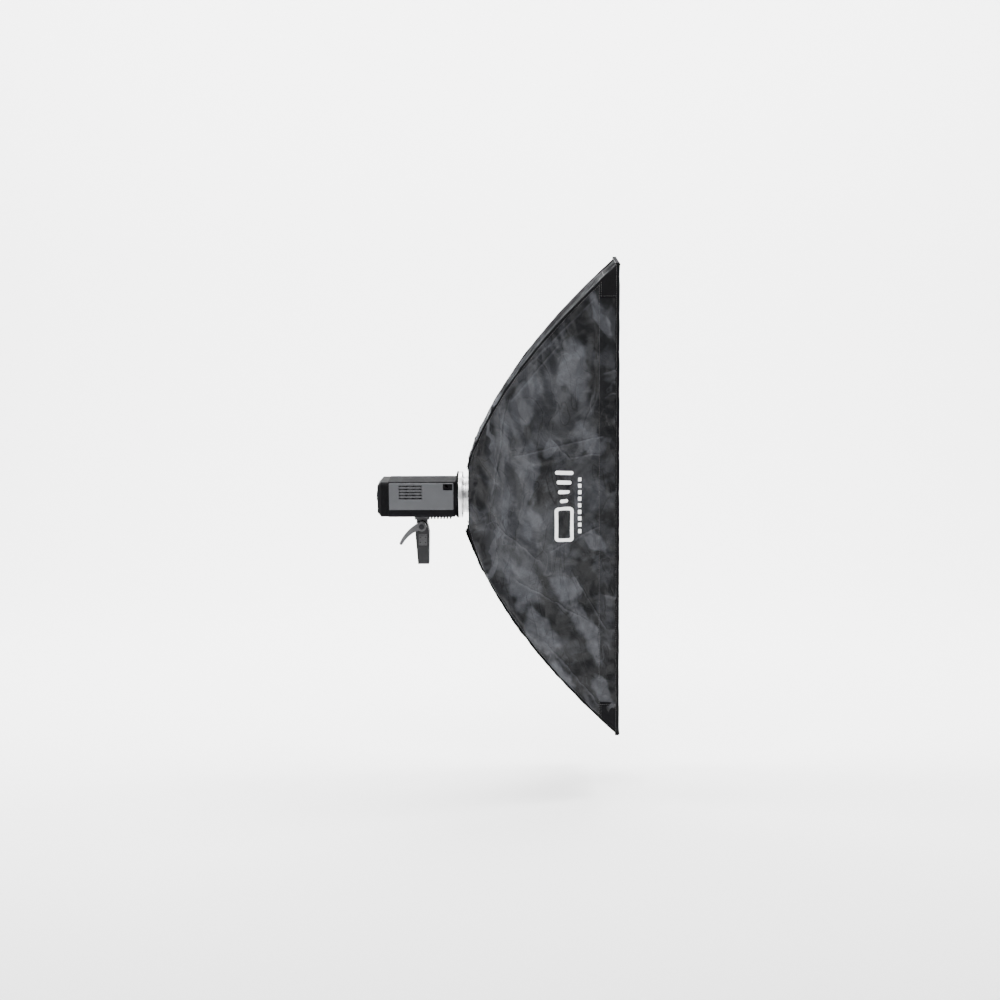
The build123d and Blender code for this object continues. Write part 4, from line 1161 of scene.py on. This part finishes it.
# %% Stitch tree
def stitch_tree():
    tree = bpy.data.node_groups.new("Stitches", "GeometryNodeTree")
    tree.interface.new_socket("Lines", in_out="INPUT", socket_type="NodeSocketGeometry")
    sizes = {}
    for name, value in (("Pitch", 0.0034), ("Stitch length", 0.0024), ("Thread", 0.0005)):
        socket = tree.interface.new_socket(name, in_out="INPUT", socket_type="NodeSocketFloat")
        socket.default_value = value
        sizes[name] = socket.identifier
    thread = tree.interface.new_socket("Finish", in_out="INPUT", socket_type="NodeSocketMaterial")
    sizes["Finish"] = thread.identifier
    tree.interface.new_socket("Stitches", in_out="OUTPUT", socket_type="NodeSocketGeometry")
    new = tree.nodes.new
    given, out = new("NodeGroupInput"), new("NodeGroupOutput")
    curve = new("GeometryNodeMeshToCurve")
    walk = new("GeometryNodeResampleCurve")
    walk.mode = "LENGTH"
    bead = new("GeometryNodeMeshUVSphere")
    bead.inputs["Segments"].default_value = 6
    bead.inputs["Rings"].default_value = 4
    bead.inputs["Radius"].default_value = 0.5
    shape = new("ShaderNodeCombineXYZ")
    squeeze = new("GeometryNodeTransform")
    tangent = new("GeometryNodeInputTangent")
    turn = new("FunctionNodeAlignRotationToVector")
    turn.axis = "X"
    lay = new("GeometryNodeInstanceOnPoints")
    real = new("GeometryNodeRealizeInstances")
    paint = new("GeometryNodeSetMaterial")
    wires = [(given, "Lines", curve, "Mesh"), (curve, "Curve", walk, "Curve"),
             (given, "Pitch", walk, "Length"), (given, "Stitch length", shape, "X"),
             (given, "Thread", shape, "Y"), (given, "Thread", shape, "Z"),
             (bead, "Mesh", squeeze, "Geometry"), (shape, "Vector", squeeze, "Scale"),
             (tangent, "Tangent", turn, "Vector"), (walk, "Curve", lay, "Points"),
             (squeeze, "Geometry", lay, "Instance"), (turn, "Rotation", lay, "Rotation"),
             (lay, "Instances", real, "Geometry"), (real, "Geometry", paint, "Geometry"),
             (given, "Finish", paint, "Material"), (paint, "Geometry", out, "Stitches")]
    for giver, output, taker, entry in wires:
        tree.links.new(giver.outputs[output], taker.inputs[entry])
    return tree, sizes


STITCHES, STITCH_SIZES = stitch_tree()


def thread_finish():
    f = Finish("Black thread")
    twist = f.noise(f.place(), 2500, 2)
    return f.use(color=f.blend(twist, (0.012, 0.012, 0.013), (0.035, 0.035, 0.037)), rough=0.7, sheen=0.3)


THREAD = thread_finish()


def bake(piece):
    """Turns what a node tree made into a plain mesh, and removes the tree."""
    shown = piece.evaluated_get(bpy.context.evaluated_depsgraph_get())
    mesh = bpy.data.meshes.new_from_object(shown)
    piece.modifiers.clear()
    piece.data = mesh
    for face in mesh.polygons:
        face.use_smooth = True
    return piece


def sew(name, lines, body, pitch=0.0060, length=0.0042, thread=0.0009):
    points, edges = [], []
    for line in lines:
        start = len(points)
        points += [tuple(map(float, p)) for p in line]
        edges += [(start + k, start + k + 1) for k in range(len(line) - 1)]
    mesh = bpy.data.meshes.new(name)
    mesh.from_pydata(points, edges, [])
    piece = bpy.data.objects.new(name, mesh)
    bpy.context.scene.collection.objects.link(piece)
    tree = piece.modifiers.new("stitches", "NODES")
    tree.node_group = STITCHES
    for key, value in (("Pitch", pitch), ("Stitch length", length), ("Thread", thread), ("Finish", THREAD)):
        tree[STITCH_SIZES[key]] = value
    bake(piece)
    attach(piece, body)
    print(name, len(lines), "lines,", len(piece.data.polygons) // 24, "stitches")
    return piece


# %% Lay the sewing lines on the settled cloth
def skin_of(piece):
    mesh = piece.data
    points, faces = [v.co.copy() for v in mesh.vertices], [tuple(f.vertices) for f in mesh.polygons]
    return BVHTree.FromPolygons(points, faces)


def on_skin(skin, pattern, flat, lift=0.0, rise=0.0003):
    """Pattern points moved onto the settled cloth."""
    points = []
    for p in pattern.place(flat[:, 0], flat[:, 1], lift):
        hit, normal, _, _ = skin.find_nearest(Vector(p))
        points.append(hit + (normal if outwards(normal, hit) else -normal) * rise)
    return points


def straight(start, end, step=0.006):
    count = max(2, int(math.hypot(end[0] - start[0], end[1] - start[1]) / step))
    return np.stack([np.linspace(start[0], end[0], count), np.linspace(start[1], end[1], count)], axis=1)


lines = []
for panel, pattern, _, _ in PANELS:
    skin = skin_of(panel)
    a = pattern.length - 0.049
    reach = float(pattern.at("half", a)) - 0.004
    lines.append(on_skin(skin, pattern, straight((a, -reach), (a, reach))))
    along = np.linspace(0.004, pattern.length - 0.05, 150)
    for side in (-1, 1):
        edge = np.stack([along, side * (pattern.at("half", along) - 0.0082)], axis=1)
        lines.append(on_skin(skin, pattern, edge))
    if not pattern.tall:
        a = opening_end + 0.006
        lines.append(on_skin(skin, pattern, straight((a, -opening_half), (a, opening_half))))
sew("panel_stitches", lines, "softbox")

tape_lines = []
for pattern in (near, far, top, bottom):
    half = float(pattern.half[-1]) - 0.003
    w = np.linspace(-half, half, int(half / 0.005))
    tape_lines.append(pattern.place(np.full(len(w), pattern.length - 0.0062), w, 0.0026))
    start = pattern.distance(pocket_start) + 0.003
    reach = pocket_reach(pattern, start) + 0.003
    outer = float(pattern.at("half", start)) - 0.006
    for side in (-1, 1):
        corner = (start, side * reach)
        ends = [(start, side * outer)] if outer > reach else []
        for end in ends + [(pattern.length - 0.009, side * reach)]:
            line = straight(corner, end, 0.004)
            tape_lines.append(pattern.place(line[:, 0], line[:, 1], 0.0034))
sew("tape_stitches", tape_lines, "softbox", pitch=0.0050, length=0.0036)

FLAPS = {"top": (flap_top, top, "top_flap"), "bottom": (flap_bottom, bottom, "bottom_flap")}
for name, (piece, pattern, body) in FLAPS.items():
    skin = skin_of(piece)
    half = float(pattern.at("half", 0.012)) - 0.014
    fold = flap_end - 0.007
    a = np.linspace(0.012, flap_end - 0.006, 50)
    edge = pattern.at("half", a) - 0.0135
    flap_lines = [straight((0.012, -half), (0.012, half)), straight((fold, -0.088), (fold, 0.088)),
                  np.stack([a, edge], axis=1), np.stack([a, -edge], axis=1)]
    flap_lines = [on_skin(skin, pattern, flat, 0.004) for flat in flap_lines]
    sew("flap_stitches_" + name, flap_lines, body)

# %% [markdown]
# ## Metal, plastic and glass
# The hard pieces already have their shape. Their edges get a small round, because a real edge always
# catches a line of light, and each material gets the mark of how it was made: turning rings on the
# bayonet, a fine moulded grain on the housings, sprayed paint on the plates.

# %% Round the edges of a hard piece
def polish(node, width=0.0005, segments=2):
    piece = nodes[node]
    weld = piece.modifiers.new("weld", "WELD")
    weld.merge_threshold = 0.00001
    flat = piece.modifiers.new("flatten", "DECIMATE")
    flat.decimate_type = "DISSOLVE"
    flat.angle_limit = math.radians(0.4)
    edge = piece.modifiers.new("edges", "BEVEL")
    edge.width = width
    edge.segments = segments
    edge.limit_method = "ANGLE"
    edge.angle_limit = math.radians(38)
    edge.harden_normals = False
    even = piece.modifiers.new("even", "WEIGHTED_NORMAL")
    even.keep_sharp = True
    return piece


# %% Metal finishes
def turned_metal(name, color, rough, pitch, depth):
    """Metal turned on a lathe: fine rings round the optical axis."""
    f = Finish(name)
    place = f.place()
    x, y, z = f.axes(place)
    y, z = y - float(RING[1]), z - float(RING[2])
    radius = (y * y + z * z).maths("SQRT")
    rings = f.wave(radius, pitch) + f.wave(x, pitch * 1.1)
    relief = f.bump(rings, depth, 0.5)
    dust = f.noise(place, 90, 4, 0.6)
    color = f.blend(dust, shade(color, 0.86), color)
    return f.use(color=color, rough=dust * 0.12 + rough, metal=1.0, normal=relief)


def worn_metal(name, color, rough, scale=220):
    f = Finish(name)
    place = f.place()
    scratches = f.noise(f.stretch(place, 1, 12, 1), scale, 3, 0.6)
    relief = f.bump(scratches, 0.00006, 0.5)
    color = f.blend(f.noise(place, 60, 4), shade(color, 0.8), color)
    return f.use(color=color, rough=scratches * 0.2 + rough, metal=1.0, normal=relief)


BRIGHT = turned_metal("Turned aluminium", (0.80, 0.80, 0.81), 0.34, 0.0006, 0.000012)
SATIN = turned_metal("Satin aluminium", (0.62, 0.62, 0.63), 0.40, 0.0009, 0.00002)
SPRING = worn_metal("Spring steel", (0.50, 0.50, 0.52), 0.30)
STEEL = worn_metal("Zinc steel", (0.58, 0.58, 0.60), 0.28)
BRASS = worn_metal("Brass", (0.72, 0.54, 0.26), 0.3)
BLACK_METAL = worn_metal("Blackened metal", (0.030, 0.030, 0.032), 0.36)
print("six metals")

# %% Plastic, paint and rubber
def moulded(name, color, rough=0.46, grain=1500, depth=0.00006, specular=0.5):
    """Moulded plastic with a fine even grain and faint handling marks."""
    f = Finish(name)
    place = f.place()
    relief = f.bump(f.noise(place, grain, 2, 0.6), depth, 0.8)
    marks = f.noise(place, 26, 5, 0.65)
    color = f.blend(marks, shade(color, 0.75), shade(color, 1.15))
    return f.use(color=color, rough=marks * 0.16 + rough - 0.08, normal=relief, specular=specular)


def painted(name, color, rough=0.38):
    """Sprayed paint: a soft orange peel, and a few finer specks."""
    f = Finish(name)
    place = f.place()
    peel = f.noise(place, 420, 2, 0.5)
    specks = f.noise(place, 2600, 1, 0.5)
    relief = f.bump(peel * 0.7 + specks * 0.3, 0.00005, 0.6)
    color = f.blend(f.noise(place, 34, 4), shade(color, 0.88), color)
    return f.use(color=color, rough=peel * 0.12 + rough, normal=relief)


HOUSING = moulded("Black housing", (0.0060, 0.0060, 0.0068), 0.66, specular=0.015)
COLLAR_BLACK = moulded("Black collar", (0.0045, 0.0045, 0.0050), 0.62, specular=0.03)
GREY_PLATE = painted("Grey plate", (0.048, 0.050, 0.055), 0.42)
LEVER_GREY = moulded("Grey lever", (0.050, 0.050, 0.053), 0.38)
FORK = moulded("Fork plastic", (0.011, 0.011, 0.012), 0.46, specular=0.25)
FORK_GREY = painted("Fork inset", (0.030, 0.030, 0.032), 0.4)
TONGUE = moulded("Tongue", (0.030, 0.030, 0.032), 0.42)
PANEL = painted("Control panel", (0.045, 0.045, 0.048), 0.45)
RUBBER = moulded("Rubber", (0.022, 0.022, 0.023), 0.75, 900, 0.0001, 0.3)
RED = moulded("Red button", (0.42, 0.03, 0.025), 0.4)
CERAMIC = moulded("Ceramic", (0.80, 0.79, 0.76), 0.5, 600)
BOARD = painted("Circuit board", (0.02, 0.14, 0.06), 0.4)
CELLS = moulded("Cell wrap", (0.012, 0.012, 0.014), 0.45)
SLEEVES = moulded("Capacitor sleeve", (0.03, 0.035, 0.06), 0.35)


def display():
    f = Finish("Display glass")
    smear = f.noise(f.place(), 40, 4)
    color = f.blend(smear, (0.010, 0.016, 0.020), (0.016, 0.024, 0.030))
    return f.use(color=color, rough=smear * 0.06 + 0.06, coat=0.6, coat_rough=0.04)


def clear_glass(name, tint):
    f = Finish(name)
    dust = f.noise(f.place(), 60, 3)
    color = f.blend(dust, shade(tint, 0.97), tint)
    return f.use(color=color, rough=dust * 0.05 + 0.03, clear=1.0, bend=1.47)


DISPLAY = display()
GLASS = clear_glass("Frosted dome", (0.95, 0.96, 0.96))
TUBE = clear_glass("Flash tube", (0.98, 0.95, 0.90))
BULB = clear_glass("Bulb", (0.98, 0.96, 0.92))

# Each finish, with its pieces and how far their edges are rounded; 0 leaves an edge as it is
HARD = [
    (BRIGHT, {"mount_ring": 0.0006, "bayonet_adapter": 0.0005}),
    (SATIN, {"rod_ring": 0.0006}),
    (STEEL, {"retaining_clip": 0.0002, "socket_sleeves": 0.0003, "spigot_liner": 0.0003,
             "tilt_nut": 0.0004}),
    (SPRING, {"rods": 0.0}),
    (RUBBER, {"rod_tips": 0.0, "button_mode": 0.0004, "button_group": 0.0004, "button_lamp": 0.0004,
              "stand_knob": 0.0008}),
    (BLACK_METAL, {"lock_knob_top": 0.0003, "lock_knob_bottom": 0.0003, "control_dial": 0.0003,
                   "bracket_screws": 0.0002, "tilt_bolt": 0.0006}),
    (HOUSING, {"upper_housing": 0.0007, "lower_housing": 0.0007, "battery_case": 0.0003,
               "underside_grille": 0.0006}),
    (COLLAR_BLACK, {"front_collar": 0.0006, "rear_bezel": 0.0007, "power_rocker": 0.0004,
                    "battery_latch": 0.0004, "fan_frame": 0.0003, "fan_rotor": 0.0002}),
    (PANEL, {"rear_panel": 0.0003}),
    (DISPLAY, {"display_window": 0.0003}),
    (RED, {"button_test": 0.0004}),
    (GREY_PLATE, {"far_side_plate": 0.0004, "battery_plate": 0.0005}),
    (CELLS, {"battery_cells": 0.0}),
    (LEVER_GREY, {"mount_latch": 0.0004, "tilt_lever": 0.0018}),
    (CERAMIC, {"tube_socket": 0.0004}),
    (GLASS, {"glass_dome": 0.0}),
    (TUBE, {"flash_tube": 0.0}),
    (BULB, {"modelling_lamp": 0.0}),
    (SLEEVES, {"capacitors": 0.0004}),
    (BOARD, {"main_board": 0.0}),
    (FORK, {"bracket_fork": 0.0008}),
    (FORK_GREY, {"fork_plate": 0.0003}),
    (TONGUE, {"tilt_tongue": 0.0007}),
    (BRASS, {"clamp_shoe": 0.0003}),
]
finished = set()
for material, pieces in HARD:
    for node, width in pieces.items():
        finished.add(node)
        give(nodes[node], material)
        if width:
            polish(node, width)
left = [node for node in nodes if node not in finished and not nodes[node].hide_render]
print(len(finished), "hard pieces finished; nothing left plain:", not left)

# %% [markdown]
# ## Floor, lamps and camera
# The set is plain: a pale floor that curves up into a pale wall. The cloth is glossy, so it shows what
# stands before it: flat cloth mirrors the dark gap between two tall lamps and stays black, and a fold that
# leans either way picks one of them up and turns grey. A lamp high in front lights the print and the
# metal. The camera stands square to the bag's side, a little above it, with a long lens.

# %% Floor and wall
floor_z = float(cad_low[2]) - 0.16


def backdrop(bend_y=2.2, radius=1.2, steps=16):
    profile = [(-2.3, 0.0), (bend_y, 0.0)]
    for k in range(1, steps + 1):
        angle = k * math.pi / (2 * steps)
        profile.append((bend_y + radius * math.sin(angle), radius - radius * math.cos(angle)))
    profile += [(3.4, 6.0)]
    points = [(x, y, floor_z + z) for x in (-9.0, 9.0) for y, z in profile]
    count = len(profile)
    faces = [(k, k + count, k + count + 1, k + 1) for k in range(count - 1)]
    return make_piece("backdrop", points, faces)


def plain(name, color, rough):
    f = Finish(name)
    speck = f.noise(f.place(), 6, 3)
    return f.use(color=f.blend(speck, shade(color, 0.985), color), rough=rough)


wall = give(backdrop(), plain("Studio paper", (0.92, 0.92, 0.92), 0.9))
wall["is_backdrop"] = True
world = bpy.data.worlds.new("studio")
bpy.context.scene.world = world
world.use_nodes = True
world.node_tree.nodes["Background"].inputs["Color"].default_value = (1, 1, 1, 1)
world.node_tree.nodes["Background"].inputs["Strength"].default_value = 0.12


def lamp(name, place, aim_at, size, power):
    data = bpy.data.lights.new(name, "AREA")
    data.shape, data.size, data.size_y, data.energy = "RECTANGLE", size[0], size[1], power
    made = bpy.data.objects.new(name, data)
    bpy.context.scene.collection.objects.link(made)
    made.location = place
    made.rotation_euler = (Vector(aim_at) - Vector(place)).to_track_quat("-Z", "Y").to_euler()
    return made


middle = Vector(RING + (0.16, 0, 0))
lamp("high front", middle + Vector((-0.6, -2.6, 3.9)), middle, (2.6, 1.6), 210)
lamp("tall left", middle + Vector((-2.7, -3.4, 0.6)), middle, (0.9, 3.2), 120)
lamp("tall right", middle + Vector((2.9, -3.2, 0.5)), middle, (0.8, 3.0), 85)
lamp("wall left", (-2.4, 0.4, 2.9), (-0.9, 3.4, 0.4), (2.4, 1.2), 400)
lamp("wall right", (2.7, 0.4, 2.9), (1.2, 3.4, 0.4), (2.4, 1.2), 400)
lamp("floor", (0.1, 1.3, 2.9), (0.1, 1.3, 0.0), (4.0, 1.4), 280)
print("floor at", round(floor_z, 3), "m, with six lamps")

# %% Camera
camera = bpy.data.objects.new("camera", bpy.data.cameras.new("camera"))
bpy.context.scene.collection.objects.link(camera)
bpy.context.scene.camera = camera
camera.data.lens = 77.6
aim = Vector(RING + (0.0758, 0, -0.0155))
tilt, turn, roll = math.radians(9.36), math.radians(1.4), math.radians(0.4)
away = Vector((math.sin(turn) * math.cos(tilt), -math.cos(turn) * math.cos(tilt), math.sin(tilt)))
distance = 5.6
camera.location = aim + away * distance
level = away.to_track_quat("Z", "Y")
camera.rotation_euler = (level @ Quaternion((0, 0, 1), -roll)).to_euler()
print("camera", distance, "m away")

# %% Print the sizes and finish
seen_low, seen_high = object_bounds()
for title, box in (("model", (cad_low, cad_high)), ("dressed", (seen_low, seen_high))):
    print(title, [[round(float(v), 3) for v in corner] for corner in box])
